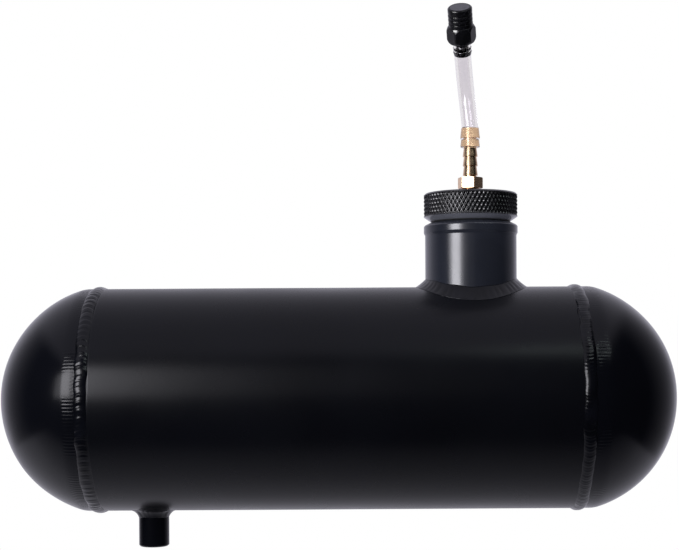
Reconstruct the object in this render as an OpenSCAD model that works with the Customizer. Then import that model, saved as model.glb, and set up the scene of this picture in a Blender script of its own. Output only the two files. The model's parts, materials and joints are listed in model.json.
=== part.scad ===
// Horizontal vented fluid tank: a rolled barrel with two spun domed heads, a screw-capped
// filler neck with a hose-and-valve breather on top, and a threaded outlet bung below.
// Origin: on the barrel's axis at mid-length. +X runs along the barrel towards the filler
// neck, +Z points up. Millimetres.

/* [Shell] */
// Outer diameter of the barrel and of the heads' flanges
tank_d = 127; // [90:1:200]
// Length of the shell between the centres of the two girth welds
barrel_len = 269.5; // [200:0.5:500]
// Thickness of the sheet in the barrel and the heads
shell_wall = 2.3; // [1.5:0.1:3.5]

/* [Domed heads] */
// How much larger the crown's radius is than the shell's
crown_extra = 2.4; // [1:0.1:10]
// Outside radius of the knuckle between crown and flange
knuckle_r = 4; // [4:0.5:15]
// Straight flange from the centre of the girth weld to the knuckle
flange_len = 8.9; // [5:0.1:15]

/* [Girth welds] */
// Root gap between barrel and head, filled by the weld
weld_gap = 2; // [1:0.5:3]
// Width of the weld's crown across the joint
bead_w = 9; // [6:0.5:9]
// Height of the crown above the shell
bead_h = 1.3; // [0.6:0.1:2]

/* [Filler neck] */
// Distance of the neck's axis from the right-hand girth weld
neck_from_weld = 58.8; // [42:0.1:90]
// Outer diameter of the neck tube
neck_d = 52.4; // [42:0.2:64]
// Height of the neck's rim above the top of the shell
neck_h = 36.9; // [30:0.1:60]
// Extra diameter of the lip round the mouth
lip_extra = 1.4; // [0.8:0.2:4]
// Height of the lip
lip_h = 7.3; // [5:0.1:10]
// Height of the bevel under the lip
lip_foot = 1.2; // [0.5:0.1:2]
// Height of the bevel from the lip up to the rim
rim_bevel = 1.8; // [0.5:0.1:2.5]
// Wall of the neck outside its bore, which is its thread's minor diameter
neck_wall = 5.4; // [4.5:0.1:8]
// Depth to which the neck reaches below the top of the shell
neck_sink = 10.5; // [10.5:0.5:14]

/* [Cap thread] */
// Pitch of the screw thread between cap and neck
thread_pitch = 3; // [2.7:0.1:3.6]
// Height of the male thread's ridge above the plug
ridge_h = 1.4; // [1:0.1:1.6]
// Width of the ridge at its foot
ridge_foot = 2.1; // [1.6:0.1:2.1]
// Width of the ridge at its crest
ridge_crest = 0.8; // [0.5:0.1:1]
// Turns of thread on the plug
plug_turns = 2.75; // [2:0.25:3]
// Running clearance between plug and bore, and on all sides of the ridge
thread_clear = 0.25; // [0.2:0.05:0.4]

/* [Filler cap] */
// How much wider the cap's knurled rim is than the neck's lip
cap_over = 0; // [0:0.1:8]
// Height of the cap's head
cap_h = 16; // [12:0.1:20]
// Bevel along the cap's upper edge
cap_bevel = 1; // [0.5:0.1:2]
// Height of the bevel along the cap's lower edge
cap_foot_bevel = 2.6; // [1:0.1:3]
// Distance that the plug reaches below the head
plug_len = 14; // [12:0.5:16]
// Wall of the hollow plug inside its thread
plug_wall = 5; // [3:0.5:8]
// Thickness of the cap's head over the hollow of the plug
cap_web = 9; // [8:0.5:12]

/* [Cap seal] */
// Thickness of the O-ring's cord
seal_cord = 1.6; // [1.4:0.1:2]
// Depth of the groove in the cap's underside
seal_groove = 1; // [0.6:0.1:1.2]
// Clearance round the O-ring
seal_clear = 0.05; // [0.03:0.01:0.1]

/* [Vent fitting] */
// Width across the flats of the fitting's hexagon
hex_af = 12.7; // [11:0.1:14]
// Height of the hexagon
hex_h = 6.2; // [5:0.1:8]
// Width of the bevel that turns off the hexagon's corners
hex_bevel = 0.5; // [0.3:0.1:0.9]
// Turn of the hexagon about the fitting's axis
hex_turn = 49; // [0:1:60]
// Outer diameter of the male pipe thread
pipe_d = 10.2; // [9:0.1:10.4]
// Pitch of the pipe thread
pipe_pitch = 0.94; // [0.8:0.01:1.2]
// Length of pipe thread that stays outside the cap
pipe_out = 3; // [1:0.1:4]
// Length of pipe thread inside the cap
pipe_in = 7.5; // [5:0.5:8]
// Bore of the fitting
fitting_bore = 4.6; // [3:0.1:5]
// Diameter over the barbs
barb_d = 8.6; // [8:0.1:9.4]
// Diameter between the barbs
barb_root_d = 7.2; // [6.4:0.1:7.6]
// Distance from barb to barb
barb_pitch = 5.4; // [4:0.1:7]
// Number of barbs
barbs = 5; // [3:1:6]

/* [Vent hose] */
// Outer diameter of the hose
hose_d = 9.5; // [9.2:0.1:11]
// Bore of the hose
hose_bore = 6.35; // [5:0.05:6.6]
// Number of the fitting's barbs that the hose covers
barbs_covered = 2; // [1:1:2]
// Thickness of the hose where a barb stretches it
stretched_wall = 1.35; // [1:0.05:1.5]

/* [Vent valve] */
// Sideways offset of the valve's lower face from the neck's axis
valve_side = 5.3; // [0:0.1:12]
// Forward offset of the valve's lower face from the neck's axis
valve_forward = 13.1; // [6:0.1:20]
// Rise of the valve's lower face above the tip of the barbed fitting
valve_rise = 47.2; // [40:0.1:80]
// Forward tilt of the valve
valve_tilt = 33.8; // [0:0.1:45]
// Sideways lean of the valve
valve_lean = 6.4; // [0:0.1:15]
// Width across the flats of the valve's hexagon
valve_af = 14.8; // [14.2:0.1:19]
// Height of the valve's hexagon
valve_hex_h = 9.6; // [8:0.1:14]
// Turn of the valve's hexagon about its axis
valve_turn = 0; // [0:1:60]
// Width of the bevel at both ends of the valve's hexagon
valve_bevel = 1.2; // [0.8:0.1:1.6]
// Height of the bevel at both ends of the valve's hexagon
valve_bevel_h = 2; // [0.5:0.1:2.5]
// Diameter of the ribbed top
valve_top_d = 13.8; // [13:0.1:14.6]
// Height of the ribbed top
valve_top_h = 10.9; // [9.6:0.1:14]
// Height of the plain land below the first groove
groove_start = 1.9; // [1:0.1:2]
// Number of grooves round the ribbed top
grooves = 3; // [1:1:3]
// Distance from groove to groove
groove_pitch = 2.4; // [2:0.1:2.6]
// Width of a groove
groove_w = 1; // [0.6:0.1:1.4]
// Depth of a groove
groove_depth = 0.6; // [0.3:0.1:1]
// Length of the barbed stem below the hexagon
stem_len = 8.2; // [6:0.1:9]
// Diameter of the stem between its barbs
stem_root_d = 6.4; // [6.4:0.1:7]
// Diameter over the stem's barbs
stem_barb_d = 7.8; // [7.4:0.1:8.4]
// Diameter of the check ball
ball_d = 6; // [5:0.1:6.4]
// Travel of the check ball from its rest up to the seat
ball_travel = 2.5; // [1.5:0.1:3]
// Bore of the stem, of the seat and of the air passage
valve_bore = 3.4; // [2.4:0.1:3.6]

/* [Outlet bung] */
// Distance of the bung's axis from the left-hand girth weld
bung_from_weld = 27.8; // [22:0.1:80]
// Outer diameter of the bung
bung_d = 17.2; // [16:0.1:22]
// Length of the bung below the bottom of the shell
bung_drop = 20.6; // [16:0.1:40]
// Bore of the bung, which is the tapping size of a quarter-inch pipe thread
bung_bore = 11.4; // [8:0.1:12]
// Bevel along the bung's outer edge
bung_bevel = 0.8; // [0.4:0.1:1.2]

/* [Fillet welds] */
// Leg of the neck's fillet weld along the shell
neck_leg_out = 6.4; // [4:0.1:8]
// Leg of the neck's fillet weld up the neck
neck_leg_up = 5.2; // [3:0.1:7]
// Leg of the bung's fillet weld along the shell
bung_leg_out = 4.8; // [3:0.1:6]
// Leg of the bung's fillet weld down the bung
bung_leg_up = 4.6; // [3:0.1:6]
// Gap between a welded tube and the edge of its hole in the shell
fit_up_gap = 0.1; // [0.05:0.05:0.3]

/* [Hidden] */
$fn = 96;

tiny = 0.01;
big = 1000;

// Shell and heads
tank_r = tank_d / 2;
shell_inner_r = tank_r - shell_wall;
crown_r = tank_r + crown_extra;
knuckle_y = flange_len;
crown_drop = sqrt(pow(crown_r - knuckle_r, 2) - pow(tank_r - knuckle_r, 2));
crown_y = knuckle_y - crown_drop;
root_bead = 0.8;                      // height of the weld's root inside the shell
weld_sides = 72;                      // rings round a fillet weld
weld_clear = 0.02;                    // a fillet weld's facets clear the metal by this much
weld_sag = 0.18;                      // hollow of a fillet weld's face, as a share of its legs

// Heights of the filler neck, cap and fitting
neck_x = barrel_len / 2 - neck_from_weld;
neck_bore = neck_d - 2 * neck_wall;
seal_margin = 0.3;                    // metal left on both sides of the O-ring's groove
seal_d = neck_bore + seal_cord + 2 * seal_margin;
rim_z = tank_r + neck_h;
neck_foot_z = tank_r - neck_sink;
seal_gap = seal_cord + 2 * seal_clear - seal_groove;
cap_d = neck_d + lip_extra + cap_over;
cap_foot_z = rim_z + seal_gap;
cap_top_z = cap_foot_z + cap_h;
seal_z = rim_z + seal_clear + seal_cord / 2;
cap_foot_r = seal_d / 2 + seal_cord / 2 + seal_clear + seal_margin;
plug_r = neck_bore / 2 - thread_clear;
plug_foot_z = cap_foot_z - plug_len;
thread_start_z = plug_foot_z + 1 + ridge_foot / 2;
neck_thread_drop = 1;                 // whole turns by which the neck's thread starts lower
thread_root = 0.3;                    // depth to which the ridge is buried in the plug
plug_bevel = 0.8;                     // bevel at the plug's lower end
rim_edge_foot = 0.5;                  // the lip starts to turn in this far below its bevel
rim_edge_top = 0.3;                   // and meets the bevel this far above the bevel's foot
rim_edge_in = 0.7;                    // having turned in by this much
thread_steps = 36;                    // straight pieces in one turn of thread

// Vent fitting
barb_land = 1.3;                      // plain neck between hexagon and barbs
hex_foot_z = cap_top_z + pipe_out;
barb_foot_z = hex_foot_z + hex_h + barb_land;
barb_tip_z = barb_foot_z + barbs * barb_pitch;
pipe_thread_depth = 0.45;

// Hose
hose_foot_z = barb_tip_z - barbs_covered * barb_pitch;
hose_sides = 24;
hose_steps = 20;                      // rings along the curved stretch
hose_grip = 0.03;                     // the hose's bore clears each barb by this much
hose_dip = 0.25;                      // the hose draws in by this much between two barbs
hose_ease = 0.1;                      // widening of the hose just past a fitting's end
hose_swell = 0.45;                    // widening of the hose over the valve's stem
hose_end_gap = 0.05;                  // the hose stops this far below the valve's hexagon

// Valve: its own frame has the hexagon's lower face at zero and its axis along +Z
valve_foot = [neck_x - valve_side, -valve_forward, barb_tip_z + valve_rise];
valve_axis = [-sin(valve_lean) * cos(valve_tilt), -sin(valve_tilt),
              cos(valve_lean) * cos(valve_tilt)];
ball_r = ball_d / 2;
bore_r = valve_bore / 2;
seat_reach = sqrt(ball_r * ball_r - bore_r * bore_r);   // from ball centre to a seat's edge
chamber_r = ball_r + 0.5;
chamber_foot = 1.6;
ball_clear = 0.05;
ball_rest = chamber_foot + seat_reach + ball_clear;
seat_foot = ball_rest + ball_travel + seat_reach + ball_clear;
seat_h = 1.5;
spigot_r = chamber_r + 1.5;
spigot_foot = ball_rest + 0.5;
seal_ring_r = 0.5;
stem_barbs = 2;
stem_barb_pitch = 2.4;
slot_w = 1;                           // air slots below the resting ball
slot_h = 1.6;
slot_reach = 1.6;                     // length of a slot, as a share of the chamber's radius
vent_hole_r = 0.6;
top_edge = 0.6;                       // bevel round the valve's top
face_rim = 1.2;                       // width of the rim round the sunk face on the valve's top
face_sink = 0.3;

// Outlet
bung_x = barrel_len / 2 - bung_from_weld;
bung_foot_z = -tank_r - bung_drop;
bung_sink = 4.5;                      // the bung reaches this far above the shell's bottom

// ---------------------------------------------------------------- shared shapes

module along_x() {
    rotate([0, 90, 0]) children();
}

module at_neck() {
    translate([neck_x, 0, 0]) children();
}

module at_valve() {
    translate(valve_foot) rotate([0, -valve_lean, 0]) rotate([valve_tilt, 0, 0]) children();
}

// Solid of revolution about Z from an outline of [radius, height] points
module turned(outline) {
    rotate_extrude() polygon(outline);
}

// Cylinder of radius r from height z0 to z1
module rod(r, z0, z1) {
    translate([0, 0, z0]) cylinder(r = r, h = z1 - z0);
}

// Hexagonal bar whose corners are turned off by a cone at each end
module hex_bar(af, z0, z1, bevel, bevel_h, turn) {
    corner_r = af / sqrt(3);
    edge_r = corner_r - bevel;
    extra = 1;                        // the cones run on this far outside the corners
    extra_h = extra * bevel_h / bevel;
    intersection() {
        translate([0, 0, z0]) rotate([0, 0, turn]) cylinder(r = corner_r, h = z1 - z0, $fn = 6);
        turned([[0, z0], [edge_r, z0], [corner_r + extra, z0 + bevel_h + extra_h],
                [corner_r + extra, z1 - bevel_h - extra_h], [edge_r, z1], [0, z1]]);
    }
}

// Closed solid skinned over rings of equal point counts, with the first and last ring capped
module skin(rings) {
    n = len(rings[0]);
    m = len(rings);
    walls = [for (i = [0:m - 2], j = [0:n - 1])
        let (a = i * n + j, b = i * n + (j + 1) % n)
        each [[a, b, b + n], [a, b + n, a + n]]];
    first = [for (j = [n - 1:-1:0]) j];
    last = [for (j = [0:n - 1]) (m - 1) * n + j];
    polyhedron(points = [for (r = rings) each r], faces = concat(walls, [first], [last]));
}

// Closed ring skinned over rings of equal point counts, with the last joined to the first
module closed_skin(rings) {
    n = len(rings[0]);
    m = len(rings);
    walls = [for (i = [0:m - 1], j = [0:n - 1])
        let (k = (i + 1) % m, a = i * n + j, b = i * n + (j + 1) % n,
             c = k * n + (j + 1) % n, d = k * n + j)
        each [[a, b, c], [a, c, d]]];
    polyhedron(points = [for (r = rings) each r], faces = walls);
}

// Helical ridge round a core: a right-handed trapezoid thread that starts at height z0
module helix(core_r, bury, height, foot, crest, z0, turns, fade) {
    steps = round(turns * thread_steps);
    skin([for (i = [0:steps])
        let (a = i * 360 / thread_steps, z = z0 + thread_pitch * i / thread_steps,
             rise = fade ? min(1, i / 4 + 0.05, (steps - i) / 4 + 0.05) : 1,
             tip = core_r + height * rise,
             hf = (foot + (foot - crest) * bury / height) / 2,
             hc = (foot - (foot - crest) * rise) / 2,
             base = core_r - bury)
        [[base * cos(a), base * sin(a), z - hf], [tip * cos(a), tip * sin(a), z - hc],
         [tip * cos(a), tip * sin(a), z + hc], [base * cos(a), base * sin(a), z + hf]]]);
}

// Fillet weld where an upright tube of radius r stands on the shell. Each ring is the weld's
// section at one angle: down the tube, out along the shell and back over a hollow face.
module fillet_weld(r, out, up) {
    n = weld_sides;
    lift = weld_clear + (r + out) * (1 - cos(180 / n));
    tube_r = r / cos(180 / n) + lift;
    on_shell = function(radius, a) sqrt(pow(tank_r + lift, 2) - pow(radius * sin(a), 2));
    closed_skin([for (i = [0:n - 1])
        let (a = 360 * i / n, top = on_shell(tube_r, a) + up, toe = tube_r + out,
             toe_z = on_shell(toe, a),
             face = [for (t = [0.1, 0.3, 0.5, 0.7, 0.9])
                 let (sag = weld_sag * 4 * t * (1 - t))
                 [toe + (tube_r - toe) * t - sag * out, toe_z + (top - toe_z) * t - sag * up]],
             shell = [for (t = [0:0.25:1]) [tube_r + out * t, on_shell(tube_r + out * t, a)]],
             section = concat([[tube_r, top]], shell, face))
        [for (p = section) [p[0] * cos(a), p[0] * sin(a), p[1]]]]);
}

// ---------------------------------------------------------------- shell

// Half section of a domed head, solid to its axis: flange, knuckle and crown, with height 0 at
// the weld's centre. The crown is cut off by the line through its own centre and the knuckle's,
// which crosses both arcs where they touch.
module head_outline(wall) {
    r = tank_r - wall;
    k = knuckle_r - wall;
    c = crown_r - wall;
    beyond = 2 * c;
    slope = crown_drop / (r - k);
    square([r, knuckle_y]);
    translate([r - k, knuckle_y]) circle(r = k);
    intersection() {
        translate([0, crown_y]) circle(r = c);
        polygon([[0, crown_y], [beyond, crown_y + beyond * slope], [0, crown_y + 2 * beyond]]);
    }
}

module head() {
    color("black")
        rotate_extrude()
            difference() {
                head_outline(0);
                head_outline(shell_wall);
                translate([-1, weld_gap / 2 - big]) square([tank_r + 2, big]);
                translate([-1, -big]) square([1, 2 * big]);
            }
}

module head_right() {
    translate([barrel_len / 2, 0, 0]) along_x() head();
}

module head_left() {
    translate([-barrel_len / 2, 0, 0]) rotate([0, 180, 0]) along_x() head();
}

module barrel() {
    length = barrel_len - weld_gap;
    color("black")
        difference() {
            translate([-length / 2, 0, 0]) along_x() rod(tank_r, 0, length);
            translate([-length / 2, 0, 0]) along_x() rod(shell_inner_r, -1, length + 1);
            translate([neck_x, 0, 0]) rod(neck_d / 2 + fit_up_gap, 0, tank_r + 1);
            translate([-bung_x, 0, 0]) rod(bung_d / 2 + fit_up_gap, -tank_r - 1, 0);
        }
}

// Butt weld round the shell: a low crown outside, the filled gap and a small root inside
module girth_weld() {
    crown = (bead_w * bead_w / 4 + bead_h * bead_h) / (2 * bead_h);
    color("black")
        rotate_extrude()
            union() {
                intersection() {
                    translate([tank_r + bead_h - crown, 0]) circle(r = crown);
                    translate([tank_r, -bead_w / 2]) square([2 * bead_h, bead_w]);
                }
                translate([shell_inner_r - root_bead, -weld_gap / 2])
                    square([shell_wall + root_bead + tiny, weld_gap]);
            }
}

module girth_weld_right() {
    translate([barrel_len / 2, 0, 0]) along_x() girth_weld();
}

module girth_weld_left() {
    translate([-barrel_len / 2, 0, 0]) along_x() girth_weld();
}

// ---------------------------------------------------------------- filler neck and outlet

module filler_neck() {
    r = neck_d / 2;
    lip_r = r + lip_extra / 2;
    bevel_z = rim_z - rim_bevel;
    groove_z = thread_start_z - neck_thread_drop * thread_pitch;
    color("black")
        at_neck()
            difference() {
                turned([[0, neck_foot_z], [r, neck_foot_z], [r, rim_z - lip_h],
                        [lip_r, rim_z - lip_h + lip_foot], [lip_r, bevel_z - rim_edge_foot],
                        [lip_r - rim_edge_in, bevel_z + rim_edge_top], [cap_foot_r, rim_z],
                        [0, rim_z]]);
                rod(neck_bore / 2, neck_foot_z - 1, rim_z + 1);
                helix(core_r = plug_r, bury = thread_clear, height = ridge_h + thread_clear,
                      foot = ridge_foot + 2 * thread_clear, crest = ridge_crest + 2 * thread_clear,
                      z0 = groove_z, turns = ceil((rim_z + 1.5 - groove_z) / thread_pitch),
                      fade = false);
            }
}

module neck_weld() {
    color("black") at_neck() fillet_weld(neck_d / 2, neck_leg_out, neck_leg_up);
}

module outlet_bung() {
    r = bung_d / 2;
    color("black")
        translate([-bung_x, 0, 0])
            difference() {
                turned([[0, bung_foot_z], [r - bung_bevel, bung_foot_z],
                        [r, bung_foot_z + bung_bevel], [r, bung_sink - tank_r],
                        [0, bung_sink - tank_r]]);
                rod(bung_bore / 2, bung_foot_z - 1, bung_sink - tank_r + 1);
            }
}

module bung_weld() {
    color("black")
        translate([-bung_x, 0, 0])
            rotate([180, 0, 0]) fillet_weld(bung_d / 2, bung_leg_out, bung_leg_up);
}

// ---------------------------------------------------------------- filler cap

module filler_cap() {
    r = cap_d / 2;
    color("black")
        at_neck()
            difference() {
                union() {
                    turned([[0, plug_foot_z], [plug_r - plug_bevel, plug_foot_z],
                            [plug_r, plug_foot_z + plug_bevel], [plug_r, cap_foot_z],
                            [cap_foot_r, cap_foot_z], [r, cap_foot_z + cap_foot_bevel],
                            [r, cap_top_z - cap_bevel], [r - cap_bevel, cap_top_z],
                            [0, cap_top_z]]);
                    helix(core_r = plug_r, bury = thread_root, height = ridge_h, foot = ridge_foot,
                          crest = ridge_crest, z0 = thread_start_z, turns = plug_turns,
                          fade = true);
                }
                rod(plug_r - plug_wall, plug_foot_z - 1, cap_top_z - cap_web);
                rod(pipe_d / 2, plug_foot_z, cap_top_z + 1);
                turned([[seal_d / 2 - seal_cord / 2 - seal_clear, cap_foot_z - tiny],
                        [seal_d / 2 + seal_cord / 2 + seal_clear, cap_foot_z - tiny],
                        [seal_d / 2 + seal_cord / 2 + seal_clear, cap_foot_z + seal_groove],
                        [seal_d / 2 - seal_cord / 2 - seal_clear, cap_foot_z + seal_groove]]);
            }
}

module o_ring(mean_r, cord_r) {
    rotate_extrude() translate([mean_r, 0]) circle(r = cord_r, $fn = 32);
}

module cap_o_ring() {
    color("dimgray") at_neck() translate([0, 0, seal_z]) o_ring(seal_d / 2, seal_cord / 2);
}

// ---------------------------------------------------------------- vent fitting and hose

// Outline points of a pipe thread's teeth, upwards from z0 to z1
function pipe_teeth(r, z0, z1) =
    let (n = floor((z1 - z0) / pipe_pitch), step = (z1 - z0) / n)
    [for (i = [0:n - 1]) each [[r - pipe_thread_depth, z0 + i * step], [r, z0 + (i + 0.5) * step]]];

// Outline points of saw-toothed barbs, upwards from z0
function barb_teeth(r, root_r, z0, pitch, n) =
    [for (i = [0:n - 1]) each [[r, z0 + i * pitch], [root_r, z0 + (i + 1) * pitch]]];

module vent_barb_fitting() {
    root_r = barb_root_d / 2;
    pipe_foot_z = cap_top_z - pipe_in;
    color("goldenrod")
        at_neck()
            difference() {
                union() {
                    turned(concat([[0, pipe_foot_z]], pipe_teeth(pipe_d / 2, pipe_foot_z, hex_foot_z),
                                  [[pipe_d / 2 - pipe_thread_depth, hex_foot_z + 1], [0, hex_foot_z + 1]]));
                    hex_bar(hex_af, hex_foot_z, hex_foot_z + hex_h, hex_bevel, hex_bevel * tan(30), hex_turn);
                    turned(concat([[0, hex_foot_z + hex_h - 1], [root_r, hex_foot_z + hex_h - 1],
                                   [root_r, barb_foot_z]],
                                  barb_teeth(barb_d / 2, root_r, barb_foot_z, barb_pitch, barbs),
                                  [[0, barb_tip_z]]));
                }
                rod(fitting_bore / 2, pipe_foot_z - 1, barb_tip_z + 1);
            }
}

// Centre line of the free stretch of hose: a cubic curve from the fitting's tip to the stem's end
hose_start = [neck_x, 0, barb_tip_z];
hose_end = valve_foot - stem_len * valve_axis;
hose_lead_in = 4;
hose_lead_out = 16;
function hose_curve(t) =
    let (a = hose_start, b = a + [0, 0, hose_lead_in], d = hose_end, c = d - hose_lead_out * valve_axis)
    a * pow(1 - t, 3) + 3 * b * pow(1 - t, 2) * t + 3 * c * (1 - t) * t * t + d * pow(t, 3);
function unit(v) = v / norm(v);
function hose_direction(t) = unit(hose_curve(min(1, t + 0.01)) - hose_curve(max(0, t - 0.01)));

// A ring of points round p, square to the direction along
function ring(p, along, r) =
    let (v = unit(cross(along, [1, 0, 0])), u = cross(v, along))
    [for (j = [0:hose_sides - 1])
        let (a = 360 * j / hose_sides) p + r * cos(a) * u + r * sin(a) * v];

// Stations along the hose: [point, direction, bore radius, outer radius]
function hose_stations() =
    let (grip = (barb_d / 2 + hose_grip) / cos(180 / hose_sides), wide = grip + stretched_wall,
         stem_grip = (stem_barb_d / 2 + hose_grip) / cos(180 / hose_sides),
         free = hose_bore / 2, outer = hose_d / 2, n = barbs_covered)
    concat(
        [for (i = [0:2 * n - 1])
            [[neck_x, 0, hose_foot_z + i * barb_pitch / 2], [0, 0, 1], grip,
             i % 2 == 0 ? wide : wide - hose_dip]],
        [[hose_start - [0, 0, hose_dip], [0, 0, 1], grip, outer + hose_dip],
         [hose_start + [0, 0, 2 * hose_dip], [0, 0, 1], free, outer + hose_ease]],
        [for (i = [1:hose_steps - 1])
            let (t = 0.05 + 0.93 * i / hose_steps) [hose_curve(t), hose_direction(t), free, outer]],
        [[hose_end + hose_ease * valve_axis, valve_axis, stem_grip, outer + hose_ease],
         [hose_end + stem_barb_pitch * valve_axis, valve_axis, stem_grip, outer + hose_swell],
         [hose_end + stem_barbs * stem_barb_pitch * valve_axis, valve_axis, stem_grip, outer + hose_swell],
         [valve_foot - hose_end_gap * valve_axis, valve_axis, stem_grip, outer + hose_dip]]);

module vent_hose() {
    s = hose_stations();
    outside = [for (p = s) ring(p[0], p[1], p[3])];
    inside = [for (i = [len(s) - 1:-1:0]) ring(s[i][0], s[i][1], s[i][2])];
    color("white", 0.5) closed_skin(concat(outside, inside));
}

// ---------------------------------------------------------------- vent valve

module valve_body() {
    root_r = stem_root_d / 2;
    barb_start = -stem_len + stem_barbs * stem_barb_pitch;
    color("black")
        at_valve()
            difference() {
                union() {
                    hex_bar(valve_af, 0, valve_hex_h, valve_bevel, valve_bevel_h, valve_turn);
                    turned(concat([[0, -stem_len], [root_r, -stem_len]],
                                  [for (i = [0:stem_barbs - 1]) each
                                      [[root_r, -stem_len + i * stem_barb_pitch],
                                       [stem_barb_d / 2, -stem_len + (i + 1) * stem_barb_pitch]]],
                                  [[root_r, barb_start], [root_r, 1], [0, 1]]));
                }
                rod(bore_r, -stem_len - 1, chamber_foot + 1);
                rod(chamber_r, chamber_foot, spigot_foot + 1);
                rod(spigot_r, spigot_foot, valve_hex_h + 1);
                rod(spigot_r + seal_ring_r, valve_hex_h - 2 * seal_ring_r, valve_hex_h + 1);
                for (turn = [0, 90])
                    rotate([0, 0, turn])
                        translate([0, 0, chamber_foot])
                            cube([chamber_r * slot_reach, slot_w, slot_h], center = true);
            }
}

module valve_top() {
    r = valve_top_d / 2;
    top = valve_hex_h + valve_top_h;
    first = valve_hex_h + groove_start;
    passage_top = first + groove_pitch + groove_w / 2 + bore_r / 2;
    color("black")
        at_valve()
            difference() {
                turned(concat([[0, spigot_foot], [spigot_r, spigot_foot], [spigot_r, valve_hex_h],
                               [r, valve_hex_h]],
                              [for (i = [0:grooves - 1]) let (z = first + i * groove_pitch) each
                                  [[r, z], [r - groove_depth, z], [r - groove_depth, z + groove_w],
                                   [r, z + groove_w]]],
                              [[r, top - top_edge], [r - top_edge, top], [r - face_rim, top],
                               [r - face_rim, top - face_sink], [0, top - face_sink]]));
                rod(chamber_r, spigot_foot - 1, seat_foot + seat_h);
                rod(bore_r, seat_foot, passage_top);
                translate([0, 0, valve_hex_h - seal_ring_r]) o_ring(spigot_r, seal_ring_r);
                for (turn = [0, 90])
                    rotate([0, 0, turn])
                        translate([0, 0, first + groove_pitch + groove_w / 2])
                            rotate([0, 90, 0]) cylinder(r = vent_hole_r, h = valve_top_d, center = true);
            }
}

module valve_o_ring() {
    color("dimgray")
        at_valve() translate([0, 0, valve_hex_h - seal_ring_r]) o_ring(spigot_r, seal_ring_r);
}

module valve_seat() {
    color("dimgray")
        at_valve()
            difference() {
                rod(chamber_r, seat_foot, seat_foot + seat_h);
                rod(bore_r, seat_foot - 1, seat_foot + seat_h + 1);
            }
}

module valve_ball() {
    color("silver") at_valve() translate([0, 0, ball_rest]) sphere(r = ball_r);
}

barrel();
head_left();
head_right();
girth_weld_left();
girth_weld_right();
filler_neck();
neck_weld();
outlet_bung();
bung_weld();
filler_cap();
cap_o_ring();
vent_barb_fitting();
vent_hose();
valve_body();
valve_top();
valve_o_ring();
valve_seat();
valve_ball();
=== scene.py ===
"""Looks for a black vented fluid tank: coated shell with weld beads, knurled screw cap, brass barb,
clear hose and breather valve, all built round the packed model of the same tank."""

import json
import math

import bpy
import numpy as np
from mathutils import Matrix, Vector


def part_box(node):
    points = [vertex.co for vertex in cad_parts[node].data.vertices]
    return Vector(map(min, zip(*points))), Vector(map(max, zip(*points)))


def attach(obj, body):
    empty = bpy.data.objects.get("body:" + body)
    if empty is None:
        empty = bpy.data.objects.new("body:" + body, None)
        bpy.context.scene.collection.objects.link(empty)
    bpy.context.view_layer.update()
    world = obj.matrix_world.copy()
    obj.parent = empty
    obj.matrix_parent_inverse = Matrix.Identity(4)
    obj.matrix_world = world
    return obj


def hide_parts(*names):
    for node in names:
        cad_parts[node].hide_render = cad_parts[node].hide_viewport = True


bl_info = {
    "name": "Vented Fluid Tank",
    "version": (1, 0, 0),
    "blender": (4, 5, 0),
    "location": "View3D > Sidebar > Tank",
    "description": "Builds the visible pieces, finishes and stage of a black vented fluid tank",
    "category": "Object",
}

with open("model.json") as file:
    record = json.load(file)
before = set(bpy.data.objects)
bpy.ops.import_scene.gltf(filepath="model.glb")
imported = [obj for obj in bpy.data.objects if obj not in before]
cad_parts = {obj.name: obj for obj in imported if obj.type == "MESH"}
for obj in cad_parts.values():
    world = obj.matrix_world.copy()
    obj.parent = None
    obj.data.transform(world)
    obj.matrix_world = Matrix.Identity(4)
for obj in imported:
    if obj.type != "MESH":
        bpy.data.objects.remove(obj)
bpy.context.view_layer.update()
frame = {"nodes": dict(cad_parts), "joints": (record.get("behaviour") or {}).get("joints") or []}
MM = 0.001
TURN = 2 * math.pi

# ------------------------------------------------------------------ places read from the frame


def middle(node):
    """Centre of a node's box."""
    low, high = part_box(node)
    return (low + high) / 2


TANK_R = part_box("barrel")[1].z
BARREL_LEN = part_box("barrel")[1].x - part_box("barrel")[0].x
BEAD_X = middle("girth_weld_right").x
BEAD_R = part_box("girth_weld_right")[1].z
BEAD_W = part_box("girth_weld_right")[1].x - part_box("girth_weld_right")[0].x
HEAD_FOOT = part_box("head_right")[0].x
HEAD_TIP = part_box("head_right")[1].x
NECK_X = middle("filler_neck").x
NECK_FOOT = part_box("filler_neck")[0].z
RIM_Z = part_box("filler_neck")[1].z
LIP_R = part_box("filler_neck")[1].y
CAP_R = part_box("filler_cap")[1].y
CAP_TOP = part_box("filler_cap")[1].z
PLUG_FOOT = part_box("filler_cap")[0].z
SEAL_R = middle("cap_o_ring").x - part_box("cap_o_ring")[0].x
SEAL_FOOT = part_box("cap_o_ring")[0].z
SEAL_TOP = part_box("cap_o_ring")[1].z
FITTING_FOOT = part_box("vent_barb_fitting")[0].z
FITTING_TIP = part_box("vent_barb_fitting")[1].z
HOSE_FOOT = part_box("vent_hose")[0].z
BUNG_X = middle("outlet_bung").x
BUNG_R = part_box("outlet_bung")[1].y
BUNG_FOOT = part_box("outlet_bung")[0].z
BUNG_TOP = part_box("outlet_bung")[1].z
VALVE_AXIS = np.array(next(j for j in frame["joints"] if j["name"] == "ball_lift")["axis"], float)
BALL_CENTRE = np.array(middle("valve_ball"), float)

# ------------------------------------------------------------------ sizes and colours to change


def length(name, text, value_mm):
    """A length property in metres, with its default given in millimetres."""
    return bpy.props.FloatProperty(
        name=name, description=text, default=value_mm * MM, unit="LENGTH", precision=5, step=0.01
    )


def number(name, text, value, low=0.0, high=1.0):
    """A plain number property with limits."""
    return bpy.props.FloatProperty(name=name, description=text, default=value, min=low, max=high)


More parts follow.
